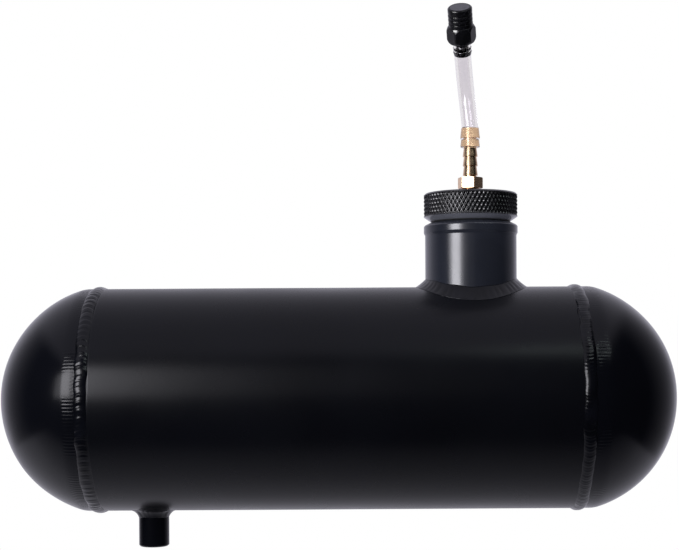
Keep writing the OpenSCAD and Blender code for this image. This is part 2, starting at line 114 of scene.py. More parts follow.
def whole(name, text, value, low=1):
    """A whole-number property with a lower limit."""
    return bpy.props.IntProperty(name=name, description=text, default=value, min=low)


def colour(name, text, value):
    """A linear colour property."""
    return bpy.props.FloatVectorProperty(
        name=name, description=text, default=value, subtype="COLOR", size=3, min=0.0, max=1.0
    )


class TankShellSettings(bpy.types.PropertyGroup):
    """Sizes of the shell and its welds."""

    wall: length("Wall", "Thickness of the shell's sheet", 2.3)
    knuckle: length("Knuckle", "Outside radius of the knuckle between crown and flange", 18)
    crown: length("Crown", "Outside radius of the head's crown", 65.9)
    dents: length("Dents", "How far the spun heads stray from a true curve", 0.12)
    hole_gap: length("Hole gap", "Gap between a welded tube and its hole in the shell", 0.1)
    bead_pitch: length("Bead ripple", "Distance between the ripples of the girth welds", 4.4)
    bead_ripple: number("Bead ripple height", "Height of a ripple over the bead's height", 0.16)
    bead_spread: number("Bead spread", "Width of the visible bead over the joint's full weld", 0.80)
    bead_drift: length("Bead drift", "How far the left bead lies towards its head", 1.7)
    bead_right: number("Right bead ripple", "Ripple height of the right bead over the left's", 0.4)
    fillet_ripple: length("Fillet ripple", "Height of the ripples of both fillet welds", 0.21)
    neck_leg_out: length("Neck weld out", "Leg of the neck's weld along the shell", 6.4)
    neck_leg_up: length("Neck weld up", "Leg of the neck's weld up the neck", 5.2)
    neck_hollow: number("Neck weld hollow", "Hollow of the neck's weld over its legs", 0.06)
    neck_ripples: whole("Neck weld ripples", "Ripples in one turn of the neck's weld", 46)
    bung_leg_out: length("Outlet weld out", "Leg of the outlet's weld along the shell", 4.8)
    bung_leg_up: length("Outlet weld down", "Leg of the outlet's weld down the bung", 4.6)
    bung_hollow: number("Outlet weld hollow", "Hollow of the outlet's weld over its legs", 0.15)
    bung_ripples: whole("Outlet weld ripples", "Ripples in one turn of the outlet's weld", 20)
    bung_bore: length("Outlet bore", "Bore radius of the outlet bung", 5.7)
    bung_bevel: length("Outlet bevel", "Bevel at the bung's outer end", 0.8)


class TankNeckSettings(bpy.types.PropertyGroup):
    """Sizes of the filler neck and its screw cap."""

    tube: length("Tube radius", "Outside radius of the neck below its lip", 26.2)
    bore: length("Bore radius", "Radius of the neck's bore", 20.8)
    lip_height: length("Lip height", "Height of the lip round the mouth", 7.3)
    lip_foot: length("Lip foot", "Height of the bevel under the lip", 1.2)
    rim_bevel: length("Rim bevel", "Height of the bevel from the lip to the rim", 1.8)
    rim_r: length("Rim radius", "Outside radius of the flat rim and of the cap's underside", 23.05)
    pitch: length("Thread pitch", "Pitch of the thread between neck and cap", 3)
    ridge: length("Ridge height", "Height of the cap's thread ridge", 1.4)
    ridge_foot: length("Ridge foot", "Width of the ridge at its foot", 2.1)
    ridge_crest: length("Ridge crest", "Width of the ridge at its crest", 0.8)
    thread_gap: length("Thread gap", "Running clearance round the thread", 0.25)
    plug_turns: number("Plug turns", "Turns of thread on the plug", 2.75, 1.0, 3.0)
    plug_wall: length("Plug wall", "Wall of the hollow plug", 5)
    head_height: length("Cap height", "Height of the cap's head", 16)
    web: length("Cap web", "Thickness of the cap's head over the plug's hollow", 9)
    top_bevel: length("Cap bevel", "Bevel along the cap's upper edge", 1)
    foot_bevel: length("Cap foot bevel", "Height of the bevel along the cap's lower edge", 2.6)
    knurl_depth: length("Knurl depth", "Depth of the diamond knurl", 0.8)
    knurl_columns: whole("Knurl columns", "Diamonds in one turn of the rim", 70, 12)
    knurl_slant: number("Knurl slant", "Height of one diamond over its width", 1.86, 0.5, 4.0)


class TankVentSettings(bpy.types.PropertyGroup):
    """Sizes of the brass fitting, the hose and the valve."""

    pipe_r: length("Pipe radius", "Outside radius of the pipe thread", 5.1)
    pipe_out: length("Pipe showing", "Length of pipe thread above the cap", 3)
    pipe_pitch: length("Pipe pitch", "Pitch of the pipe thread", 0.94)
    pipe_depth: length("Pipe depth", "Depth of the pipe thread", 0.45)
    hex_af: length("Hexagon", "Width across the fitting's flats", 12.7)
    hex_height: length("Hexagon height", "Height of the fitting's hexagon", 6.2)
    hex_bevel: length("Hexagon bevel", "Width turned off the hexagon's corners", 0.5)
    hex_edge: length("Hexagon edge", "Rounding of the fitting's upright edges", 0.3)
    hex_turn: number("Hexagon turn", "Turn of the hexagon in degrees", 44.0, 0.0, 60.0)
    fitting_bore: length("Fitting bore", "Bore radius of the fitting", 2.3)
    barb_r: length("Barb radius", "Radius over the barbs", 4.3)
    barb_root: length("Barb root", "Radius between the barbs", 3.6)
    barb_pitch: length("Barb pitch", "Distance from barb to barb", 5.4)
    barbs: whole("Barbs", "Number of barbs", 5)
    hose_r: length("Hose radius", "Outside radius of the hose", 4.75)
    hose_bore: length("Hose bore", "Bore radius of the hose", 3.175)
    hose_grip: length("Hose grip", "How far the hose's bore presses into a barb", 0.03)
    lead_in: length("Lead in", "How stiffly the hose leaves the fitting", 4)
    lead_out: length("Lead out", "How stiffly the hose enters the valve", 16)
    ball_rest: length("Ball rest", "Height of the resting ball above the valve's lower face", 4.1218)
    valve_af: length("Valve hexagon", "Width across the valve's flats", 14.8)
    valve_hex: length("Valve hexagon height", "Height of the valve's hexagon", 9.6)
    valve_edge: length("Valve edge", "Rounding of the valve's upright edges", 1.4)
    valve_bevel: length("Valve bevel", "Width turned off the valve's corners", 1.4)
    valve_bevel_h: length("Valve bevel height", "Height of the bevel at the valve's corners", 3.6)
    stem: length("Stem", "Length of the barbed stem", 8.2)
    stem_root: length("Stem root", "Radius of the stem between its barbs", 3.2)
    stem_barb: length("Stem barb", "Radius over the stem's barbs", 3.9)
    stem_pitch: length("Stem pitch", "Distance between the stem's barbs", 2.4)
    stem_barbs: whole("Stem barbs", "Number of barbs on the stem", 2)
    valve_bore: length("Valve bore", "Radius of the valve's air passage", 1.7)
    chamber: length("Chamber", "Radius of the ball's chamber", 3.5)
    chamber_foot: length("Chamber foot", "Height of the chamber's floor", 1.6)
    spigot: length("Spigot", "Radius of the top's spigot in the body", 5)
    seal_cord: length("Seal cord", "Cord radius of the valve's seal", 0.5)
    seat_top: length("Seat top", "Height of the top of the valve seat", 10.64)
    crown_r: length("Crown radius", "Radius of the ribbed top", 6.9)
    crown_height: length("Crown height", "Height of the ribbed top", 10.9)
    groove_first: length("First groove", "Height of the first groove over the hexagon", 1.9)
    groove_pitch: length("Groove pitch", "Distance from groove to groove", 2.4)
    groove_width: length("Groove width", "Width of a groove", 1)
    groove_depth: length("Groove depth", "Depth of a groove", 0.6)
    grooves: whole("Grooves", "Number of grooves round the top", 3)
    vent_holes: whole("Vent holes", "Number of holes in the second groove", 4)


class TankFinishSettings(bpy.types.PropertyGroup):
    """Colours of the finishes."""

    coat: colour("Coat", "Black coat of the shell", (0.0015, 0.0017, 0.0026))
    neck_coat: colour("Neck coat", "Black coat of the turned neck", (0.0120, 0.0138, 0.0190))
    cap_coat: colour("Cap coat", "Black anodising of the cap", (0.0022, 0.0022, 0.0028))
    # Painted reflection: lighter grey of the cap's turned foot, standing for the pale floor mirrored in its
    # bevel.
    cap_foot_reflection: colour("Cap foot", "Turned foot of the cap", (0.10, 0.105, 0.118))
    valve_coat: colour("Valve coat", "Black anodising of the valve", (0.0012, 0.0012, 0.0015))
    valve_face: colour("Valve face", "Grey face on the valve's top", (0.030, 0.030, 0.034))
    brass: colour("Brass", "Turned brass", (0.84, 0.59, 0.37))
    hose: colour("Hose", "Tint of the clear hose", (0.81, 0.785, 0.815))
    rubber: colour("Rubber", "Seals", (0.012, 0.012, 0.012))
    steel: colour("Steel", "Check ball", (0.62, 0.62, 0.64))


class TankStageSettings(bpy.types.PropertyGroup):
    """Floor, lights and camera."""

    distance: length("Camera distance", "From the barrel's axis to the camera", 800)
    across: length("Camera across", "Sideways place of the camera", 17)
    height: length("Camera height", "Height of the camera over the barrel's axis", 31)
    floor_drop: length("Floor drop", "Depth of the floor under the barrel's axis", 350)
    backdrop: number("Backdrop", "Brightness of the backdrop behind the tank", 1.0, 0.0, 5.0)
    fill: number("Fill light", "Brightness of the surroundings as they light the tank", 0.85, 0.0, 5.0)
    fill_tint: colour("Fill tint", "Colour of the surroundings as they light the tank", (0.88, 0.86, 1.0))
    key: number("Key light", "Brightness of the main softbox", 15.0, 0.0, 500.0)
    key_tint: colour("Key tint", "Colour of the main softbox", (0.95, 0.94, 1.0))
    strip: number("Strip light", "Power of the overhead strip in watts", 0.5, 0.0, 500.0)
    glint: number("Valve glint", "Power of the small light that only the valve catches", 12.0, 0.0, 50.0)


# ------------------------------------------------------------------ meshes from arrays


def add_piece(name, points, faces, material, body, replaced=()):
    mesh = bpy.data.meshes.new(name)
    mesh.from_pydata(np.asarray(points).tolist(), [], faces)
    mesh.polygons.foreach_set("use_smooth", np.ones(len(mesh.polygons), bool))
    mesh.materials.append(material)
    mesh.update()
    piece = bpy.data.objects.new(name, mesh)
    bpy.context.scene.collection.objects.link(piece)
    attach(piece, body)
    if replaced:
        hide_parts(*replaced)
    return piece


def grid_faces(rows, columns, close_rows):
    """Faces of a grid that closes round its columns, and along its rows when close_rows is set.
    They face outwards where the rows climb the outside of a turned shape."""
    index = np.arange(rows * columns).reshape(rows, columns)
    below = index if close_rows else index[:-1]
    above = np.roll(index, -1, 0) if close_rows else index[1:]
    quads = np.stack([below, np.roll(below, -1, 1), np.roll(above, -1, 1), above], -1)
    return quads.reshape(-1, 4)


def weld_poles(points, quads, rows, columns, poles):
    """Joins each pole row into its first point, turns the faces there into triangles and drops
    the points that nothing uses."""
    index = np.arange(rows * columns).reshape(rows, columns)
    for pole in poles:
        index[pole] = index[pole, 0]
    quads = index.reshape(-1)[quads]
    kept, renumbered = np.unique(quads, return_inverse=True)
    quads = renumbered.reshape(quads.shape)
    repeated = quads == np.roll(quads, -1, 1)
    flat = repeated.any(1)
    order = (repeated[flat].argmax(1)[:, None] + np.arange(1, 4)) % 4
    triangles = np.take_along_axis(quads[flat], order, 1)
    return points[kept], quads[~flat].tolist() + triangles.tolist()


def capped_surface(outline, columns, reshape=None):
    """Points and faces of a surface of revolution whose outline starts and ends on its axis."""
    points = revolve(outline, columns, reshape)
    quads = grid_faces(len(outline), columns, False)
    return weld_poles(points, quads, len(outline), columns, (0, len(outline) - 1))


def soften(outline, radius, closed=True, steps=4):
    """Rounds an outline's corners. Each corner becomes a parabola that touches both sides at the
    given distance, or at 40 per cent of the shorter side, with a guard point a little beyond each
    end so that flat faces shade flat. An open outline keeps its two end points."""
    corner = np.asarray(outline, float)
    to_last = np.roll(corner, 1, 0) - corner
    to_next = np.roll(corner, -1, 0) - corner
    size_last = np.linalg.norm(to_last, axis=1)
    size_next = np.linalg.norm(to_next, axis=1)
    reach = np.minimum(radius, 0.4 * np.minimum(size_last, size_next))[:, None]
    start = corner + to_last / size_last[:, None] * reach
    end = corner + to_next / size_next[:, None] * reach
    t = np.linspace(0, 1, steps + 1)[None, :, None]
    arc = start[:, None] * (1 - t) ** 2 + 2 * corner[:, None] * t * (1 - t) + end[:, None] * t**2
    guard_start = (start + (start - corner) * 0.2)[:, None]
    guard_end = (end + (end - corner) * 0.2)[:, None]
    rounded = np.concatenate([guard_start, arc, guard_end], 1)
    if closed:
        return rounded.reshape(-1, 2)
    return np.concatenate([corner[:1], rounded[1:-1].reshape(-1, 2), corner[-1:]])


def densify(outline, spacing, low, high, closed=True):
    """Adds points on an outline's long sides, no further apart than spacing, on sides that lie
    between the heights low and high."""
    starts = outline if closed else outline[:-1]
    ends = np.roll(outline, -1, 0) if closed else outline[1:]
    pieces = []
    for start, end in zip(starts, ends):
        inside = min(start[1], end[1]) >= low and max(start[1], end[1]) <= high
        count = max(1, math.ceil(np.linalg.norm(end - start) / spacing)) if inside else 1
        pieces.append(start + (end - start) * (np.arange(count) / count)[:, None])
    if not closed:
        pieces.append(outline[-1:])
    return np.concatenate(pieces)


def arc(centre, radius, first, last, steps):
    """Points of an arc in the radius-height plane, between two angles."""
    angle = np.linspace(first, last, steps)
    return np.stack([centre[0] + radius * np.cos(angle), centre[1] + radius * np.sin(angle)], -1)


def cubic(start, lead_in, lead_out, end, t):
    """A cubic curve that leaves start towards lead_in and reaches end from lead_out: each point
    times its share, and the four shares of t add up to one."""
    rest = 1 - t
    return start * rest**3 + 3 * lead_in * rest**2 * t + 3 * lead_out * rest * t**2 + end * t**3


def revolve(outline, columns, reshape=None, turn=0.0):
    """Points of a surface of revolution about Z: each outline point's radius carried round a full
    circle at its height. reshape may change the radius at each angle and height."""
    theta = turn + np.arange(columns)[None, :] * TURN / columns
    radius = np.repeat(outline[:, :1], columns, 1)
    height = np.repeat(outline[:, 1:], columns, 1)
    if reshape is not None:
        radius = reshape(radius, height, theta)
    points = np.stack([radius * np.cos(theta), radius * np.sin(theta), height], -1)
    return points.reshape(-1, 3)


def at_neck(points):
    """Moves points from the Z axis to the neck's axis."""
    return points + np.array([NECK_X, 0, 0])


def at_bung(points):
    """Moves points from the Z axis to the bung's axis."""
    return points + np.array([BUNG_X, 0, 0])


def at_end(points, side):
    """Turns points from the Z axis to the barrel's axis, pointing to the side's end."""
    x, y, z = points.T
    return np.stack([side * z, y, -side * x], -1)


def unit(vector):
    """A vector of length one in the same direction."""
    return vector / np.linalg.norm(vector, axis=-1, keepdims=True)


def valve_foot():
    """Centre of the valve's lower face, below the resting ball along the valve's axis."""
    return BALL_CENTRE - bpy.context.scene.tank_vent.ball_rest * VALVE_AXIS


def at_valve(points):
    """Carries points from an upright valve onto the tilted one. The valve's own X axis stays
    square to its axis in the plane of X and Z."""
    across = unit(np.array([VALVE_AXIS[2], 0, -VALVE_AXIS[0]]))
    basis = np.stack([across, np.cross(VALVE_AXIS, across), VALVE_AXIS])
    return valve_foot() + points @ basis


def waves(theta, seed, count, strength):
    """A smooth closed wobble: whole waves per turn with seeded phases and falling sizes."""
    random = np.random.default_rng(seed)
    order = np.arange(1, count + 1)
    phase = random.uniform(0, TURN, count)
    size = random.normal(0, 1, count) / np.sqrt(order)
    return strength * (np.sin(theta[..., None] * order + phase) @ size) / np.abs(size).sum()


def dents(points, seed, shortest, longest, strength):
    """A smooth field of shallow dents: a sum of plane sine waves in seeded directions."""
    random = np.random.default_rng(seed)
    count = 12
    direction = unit(random.normal(0, 1, (count, 3)))
    wave = direction * (TURN / random.uniform(shortest, longest, count))[:, None]
    phase = random.uniform(0, TURN, count)
    return strength * np.sin(points @ wave.T + phase).mean(1) * 2


def turned_piece(name, outline, columns, place, material, body, replaced, reshape=None, turn=0.0):
    """A ring-shaped piece from a closed outline that runs anticlockwise, with the radius to the
    right and the height up."""
    points = place(revolve(outline, columns, reshape, turn))
    faces = grid_faces(len(outline), columns, True).tolist()
    return add_piece(name, points, faces, material, body, replaced)


# ------------------------------------------------------------------ finishes


def new_finish(name, tint, rough, **sockets):
    """A material with its even values set on the shader's own sockets."""
    material = bpy.data.materials.new(name)
    material.use_nodes = True
    shader = material.node_tree.nodes["Principled BSDF"]
    shader.inputs["Base Color"].default_value = (*tint, 1)
    shader.inputs["Roughness"].default_value = rough
    for socket, value in sockets.items():
        shader.inputs[socket.replace("_", " ")].default_value = value
    material.diffuse_color = (*tint, 1)
    return material, material.node_tree, shader


def noise(tree, scale, detail=2.0, stretch=(1, 1, 1)):
    """Noise on object coordinates that are first stretched along X, Y and Z."""
    where = tree.nodes.new("ShaderNodeTexCoord")
    mapping = tree.nodes.new("ShaderNodeMapping")
    mapping.inputs["Scale"].default_value = stretch
    texture = tree.nodes.new("ShaderNodeTexNoise")
    texture.inputs["Scale"].default_value = scale
    texture.inputs["Detail"].default_value = detail
    tree.links.new(where.outputs["Object"], mapping.inputs["Vector"])
    tree.links.new(mapping.outputs["Vector"], texture.inputs["Vector"])
    return texture.outputs["Fac"]


def rescale(tree, signal, low, high, from_low=0.3, from_high=0.7):
    """Maps a signal linearly onto the range from low to high."""
    node = tree.nodes.new("ShaderNodeMapRange")
    node.inputs["From Min"].default_value = from_low
    node.inputs["From Max"].default_value = from_high
    node.inputs["To Min"].default_value = low
    node.inputs["To Max"].default_value = high
    tree.links.new(signal, node.inputs["Value"])
    return node.outputs["Result"]


def calculate(tree, operation, first, second=None):
    """A math node. Each input is a signal or a plain number."""
    node = tree.nodes.new("ShaderNodeMath")
    node.operation = operation
    for socket, value in zip(node.inputs, (first, second)):
        if isinstance(value, bpy.types.NodeSocket):
            tree.links.new(value, socket)
        elif value is not None:
            socket.default_value = value
    return node.outputs["Value"]


def product(tree, first, *others):
    """Several signals multiplied together."""
    for other in others:
        first = calculate(tree, "MULTIPLY", first, other)
    return first


def object_axes(tree):
    """X, Y and Z of the object coordinates as three signals."""
    where = tree.nodes.new("ShaderNodeTexCoord")
    split = tree.nodes.new("ShaderNodeSeparateXYZ")
    tree.links.new(where.outputs["Object"], split.inputs["Vector"])
    return split.outputs


def vary_colour(tree, shader, signal, first, second):
    """Drives the base colour from one tint to another with a signal."""
    ramp = tree.nodes.new("ShaderNodeValToRGB")
    ramp.color_ramp.elements[0].position = 0.35
    ramp.color_ramp.elements[0].color = (*first, 1)
    ramp.color_ramp.elements[1].position = 0.68
    ramp.color_ramp.elements[1].color = (*second, 1)
    tree.links.new(signal, ramp.inputs["Fac"])
    tree.links.new(ramp.outputs["Color"], shader.inputs["Base Color"])


def vary_roughness(tree, shader, signal, low, high):
    """Drives the roughness between two values with a noise signal."""
    tree.links.new(rescale(tree, signal, low, high), shader.inputs["Roughness"])


def add_bump(tree, shader, signal, depth):
    """Adds relief of a given depth in metres, on top of any relief already there."""
    node = tree.nodes.new("ShaderNodeBump")
    node.inputs["Strength"].default_value = 1.0
    node.inputs["Distance"].default_value = depth
    tree.links.new(signal, node.inputs["Height"])
    if shader.inputs["Normal"].is_linked:
        tree.links.new(shader.inputs["Normal"].links[0].from_socket, node.inputs["Normal"])
    tree.links.new(node.outputs["Normal"], shader.inputs["Normal"])


def scaled(tint, factor):
    """A tint made lighter or darker."""
    return tuple(min(1.0, channel * factor) for channel in tint)


def shell_coat():
    """Satin black coat of the barrel: fine orange peel and cloudy gloss."""
    tint = bpy.context.scene.tank_finish.coat
    material, tree, shader = new_finish("shell_coat", tint, 0.27, IOR=1.25)
    vary_colour(tree, shader, noise(tree, 14), scaled(tint, 0.9), scaled(tint, 1.25))
    vary_roughness(tree, shader, noise(tree, 22, 4), 0.25, 0.31)
    add_bump(tree, shader, noise(tree, 420, 3), 0.000006)
    return material


def head_coat():
    """The same coat, glossier, with patches of fine tool marks in a band round each head by its
    weld. The outlet bung wears it too, away from the band."""
    tint = bpy.context.scene.tank_finish.coat
    material, tree, shader = new_finish("head_coat", tint, 0.17, IOR=1.25)
    vary_colour(tree, shader, noise(tree, 14), scaled(tint, 0.9), scaled(tint, 1.25))
    vary_roughness(tree, shader, noise(tree, 22, 4), 0.15, 0.22)
    add_bump(tree, shader, noise(tree, 420, 3), 0.000004)
    axes = object_axes(tree)
    marks_per_turn = 210
    band_middle = BEAD_X + 8 * MM
    angle = calculate(tree, "ARCTAN2", axes["Y"], axes["Z"])
    marks = calculate(tree, "SINE", calculate(tree, "MULTIPLY", angle, float(marks_per_turn)))
    from_middle = calculate(tree, "ABSOLUTE", axes["X"])
    from_band = calculate(tree, "ABSOLUTE", calculate(tree, "SUBTRACT", from_middle, band_middle))
    band = rescale(tree, from_band, 1.0, 0.0, 2.5 * MM, 4.0 * MM)
    patchy = rescale(tree, noise(tree, 60, 2), 0.0, 1.0, 0.4, 0.6)
    add_bump(tree, shader, product(tree, marks, band, patchy), 0.000045)
    return material


def weld_coat():
    """The same black over weld metal: glossier, with small pits and runs."""
    tint = bpy.context.scene.tank_finish.coat
    material, tree, shader = new_finish("weld_coat", tint, 0.18, IOR=1.29)
    vary_colour(tree, shader, noise(tree, 90), scaled(tint, 0.8), scaled(tint, 1.4))
    vary_roughness(tree, shader, noise(tree, 300, 3), 0.12, 0.24)
    add_bump(tree, shader, noise(tree, 520, 4), 0.00005)
    return material


def neck_coat():
    """Glossy black over turned metal, with faint rings left by the lathe."""
    tint = bpy.context.scene.tank_finish.neck_coat
    material, tree, shader = new_finish("neck_coat", tint, 0.2, IOR=1.52)
    vary_colour(tree, shader, noise(tree, 30), scaled(tint, 0.85), scaled(tint, 1.3))
    vary_roughness(tree, shader, noise(tree, 40, 3), 0.18, 0.24)
    add_bump(tree, shader, noise(tree, 900, 2, (0.02, 0.02, 1)), 0.000004)
    add_bump(tree, shader, noise(tree, 520, 2), 0.000003)
    return material


def cap_coat():
    """Black anodised cap, worn a shade lighter on part of the knurl. Below the knurl, where it is plainly
    turned, it is smoother and painted a lighter grey: a painted reflection of the pale floor in its bevel."""
    neck = bpy.context.scene.tank_neck
    tint = bpy.context.scene.tank_finish.cap_coat
    material, tree, shader = new_finish("cap_coat", tint, 0.26, IOR=1.62)
    vary_colour(tree, shader, noise(tree, 120, 3), scaled(tint, 0.7), scaled(tint, 1.6))
    knurl_foot = CAP_TOP - neck.head_height + neck.foot_bevel
    # Below the knurl the base colour turns grey, a painted reflection of the pale floor, and the roughness
    # drops.
    turned = rescale(tree, object_axes(tree)["Z"], 1.0, 0.0, knurl_foot - 0.2 * MM, knurl_foot)
    tone = tree.nodes.new("ShaderNodeMix")
    tone.data_type = "RGBA"
    tone.inputs["B"].default_value = (*bpy.context.scene.tank_finish.cap_foot_reflection, 1)
    tree.links.new(turned, tone.inputs["Factor"])
    tree.links.new(shader.inputs["Base Color"].links[0].from_socket, tone.inputs["A"])
    tree.links.new(tone.outputs["Result"], shader.inputs["Base Color"])
    extra_gloss = 0.12
    rough = rescale(tree, noise(tree, 260, 3), 0.20, 0.30)
    smoother = calculate(tree, "MULTIPLY", turned, extra_gloss)
    tree.links.new(calculate(tree, "SUBTRACT", rough, smoother), shader.inputs["Roughness"])
    add_bump(tree, shader, noise(tree, 1800, 2), 0.000004)
    return material


def valve_coat():
    """Deep glossy black of the valve's two halves."""
    tint = bpy.context.scene.tank_finish.valve_coat
    material, tree, shader = new_finish("valve_coat", tint, 0.14, IOR=1.27)
    vary_colour(tree, shader, noise(tree, 200, 2), scaled(tint, 0.8), scaled(tint, 1.5))
    vary_roughness(tree, shader, noise(tree, 300, 3), 0.11, 0.19)
    add_bump(tree, shader, noise(tree, 1500, 2), 0.000002)
    return material


def valve_face_finish():
    """Grey blasted face on the valve's top."""
    tint = bpy.context.scene.tank_finish.valve_face
    material, tree, shader = new_finish("valve_face_finish", tint, 0.45, IOR=1.5)
    vary_colour(tree, shader, noise(tree, 500, 3), scaled(tint, 0.8), scaled(tint, 1.3))
    vary_roughness(tree, shader, noise(tree, 700, 2), 0.38, 0.52)
    add_bump(tree, shader, noise(tree, 2600, 2), 0.000006)
    return material


def brass_finish():
    """Turned brass: warm metal with fine lathe rings and slight tarnish."""
    tint = bpy.context.scene.tank_finish.brass
    material, tree, shader = new_finish("brass_finish", tint, 0.2, Metallic=1.0)
    vary_colour(tree, shader, noise(tree, 350, 4), scaled(tint, 0.75), tint)
    vary_roughness(tree, shader, noise(tree, 260, 3), 0.20, 0.32)
    add_bump(tree, shader, noise(tree, 2600, 2, (0.03, 0.03, 1)), 0.000003)
    return material


def hose_finish():
    """Clear soft hose that bends the light, with a smoky tint and faint streaks along its length."""
    tint = bpy.context.scene.tank_finish.hose
    material, tree, shader = new_finish("hose_finish", tint, 0.04, IOR=1.42, Transmission_Weight=1.0)
    vary_roughness(tree, shader, noise(tree, 120, 2), 0.02, 0.07)
    add_bump(tree, shader, noise(tree, 700, 2, (1, 1, 0.05)), 0.000006)
    return material


def rubber_finish():
    """Dull black rubber of the seals and the valve seat."""
    tint = bpy.context.scene.tank_finish.rubber
    material, tree, shader = new_finish("rubber_finish", tint, 0.6, IOR=1.5)
    vary_colour(tree, shader, noise(tree, 500, 3), scaled(tint, 0.7), scaled(tint, 1.5))
    vary_roughness(tree, shader, noise(tree, 900, 2), 0.5, 0.7)
    add_bump(tree, shader, noise(tree, 2200, 2), 0.00001)
    return material


def steel_finish():
    """Polished ball with the finest of scratches."""
    tint = bpy.context.scene.tank_finish.steel
    material, tree, shader = new_finish("steel_finish", tint, 0.08, Metallic=1.0)
    vary_colour(tree, shader, noise(tree, 400, 2), scaled(tint, 0.92), tint)
    vary_roughness(tree, shader, noise(tree, 900, 4), 0.05, 0.12)
    return material


FINISHES = {
    "shell_coat": shell_coat,
    "head_coat": head_coat,
    "weld_coat": weld_coat,
    "neck_coat": neck_coat,
    "cap_coat": cap_coat,
    "valve_coat": valve_coat,
    "valve_face_finish": valve_face_finish,
    "brass_finish": brass_finish,
    "hose_finish": hose_finish,
    "rubber_finish": rubber_finish,
    "steel_finish": steel_finish,
}


def finish(name):
    """A finish by name, made the first time it is asked for. Its name isn't that of a slot in the
    packed model, whose own plain materials are already there."""
    return bpy.data.materials.get(name) or FINISHES[name]()


# ------------------------------------------------------------------ shell


def barrel_sheet():
    """The barrel's outer surface as one sheet with two round holes. The grid is even along X and
    round the axis. Near each hole its square rings are eased onto the circle where the tube
    passes through, and the squares inside are left out."""
    shell = bpy.context.scene.tank_shell
    neck_hole = bpy.context.scene.tank_neck.tube + shell.hole_gap
    columns = 240
    rows = 162
    x_lines = np.linspace(-BARREL_LEN / 2, BARREL_LEN / 2, rows)
    step_x = x_lines[1] - x_lines[0]
    step_s = TURN * TANK_R / columns
    x, s = np.meshgrid(x_lines, np.arange(columns) * step_s, indexing="ij")
    around = TURN * TANK_R
    kept = np.ones((rows - 1, columns), bool)
    centre_x = (x_lines[:-1] + step_x / 2)[:, None]
    centre_s = (np.arange(columns) + 0.5)[None, :] * step_s
    for hole_x, hole_s, hole_r, ease in (
        (NECK_X, 0.0, neck_hole, 12 * MM),
        (BUNG_X, around / 2, BUNG_R + shell.hole_gap, 8 * MM),
    ):
        grid_x = x_lines[np.abs(x_lines - hole_x).argmin()]
        grid_s = round(hole_s / step_s) * step_s
        half = round(0.85 * hole_r / step_x)
        dx = (x - grid_x) / step_x
        ds = ((s - grid_s + around / 2) % around - around / 2) / step_s
        reach = np.maximum(np.abs(dx), np.abs(ds))
        t = np.clip((reach - half) / (ease / step_x), 0, 1)
        t = t * t * (3 - 2 * t)
        size = np.maximum(np.hypot(dx, ds), 1e-9)
        rim_x = hole_x + hole_r * dx / size
        rim_s = hole_s + TANK_R * np.arcsin(np.clip(hole_r * ds / size / TANK_R, -1, 1))
        s_near = hole_s + ds * step_s
        near = t < 1
        x = np.where(near, rim_x * (1 - t) + x * t, x)
        s = np.where(near, rim_s * (1 - t) + s_near * t, s)
        off_x = np.abs(centre_x - grid_x) < half * step_x
        off_s = np.abs((centre_s - grid_s + around / 2) % around - around / 2) < half * step_s
        kept &= ~(off_x & off_s)
    points = np.stack([x, TANK_R * np.sin(s / TANK_R), TANK_R * np.cos(s / TANK_R)], -1).reshape(-1, 3)
    outward = unit(points * np.array([0, 1, 1]))
    points = points + outward * dents(points, 5, 70 * MM, 160 * MM, strength=0.05 * MM)[:, None]
    quads = grid_faces(rows, columns, False)[kept.reshape(-1)][:, ::-1]
    used, renumbered = np.unique(quads, return_inverse=True)
    return points[used], renumbered.reshape(quads.shape)


def head_surface(side):
    """A domed head: the crown's arc from the pole to where it meets the knuckle's arc, then the
    straight flange, with the inner surface one wall inside, all turned about the barrel's axis
    and dented a little along lines through the crown's centre."""
    shell = bpy.context.scene.tank_shell
    crown_y = HEAD_TIP - shell.crown
    ring = TANK_R - shell.knuckle
    knuckle_y = crown_y + math.sqrt((shell.crown - shell.knuckle) ** 2 - ring**2)
    meet = math.atan2(knuckle_y - crown_y, ring)
    skins = []
    for inset in (0, shell.wall):
        crown = arc((0, crown_y), shell.crown - inset, math.pi / 2, meet, 64)
        knuckle = arc((ring, knuckle_y), shell.knuckle - inset, meet, 0, 8)[1:]
        flange_y = np.linspace(knuckle_y, HEAD_FOOT, 6)[1:]
        flange = np.stack([np.full(5, TANK_R - inset), flange_y], -1)
        skins.append(np.concatenate([crown, knuckle, flange]))
    outline = np.concatenate([skins[1], skins[0][::-1]])
    points, faces = capped_surface(outline, 264)
    outward = unit(points - np.array([0, 0, crown_y]))
    points = points + outward * dents(points, 11 + side, 28 * MM, 80 * MM, shell.dents)[:, None]
    return at_end(points, side), faces


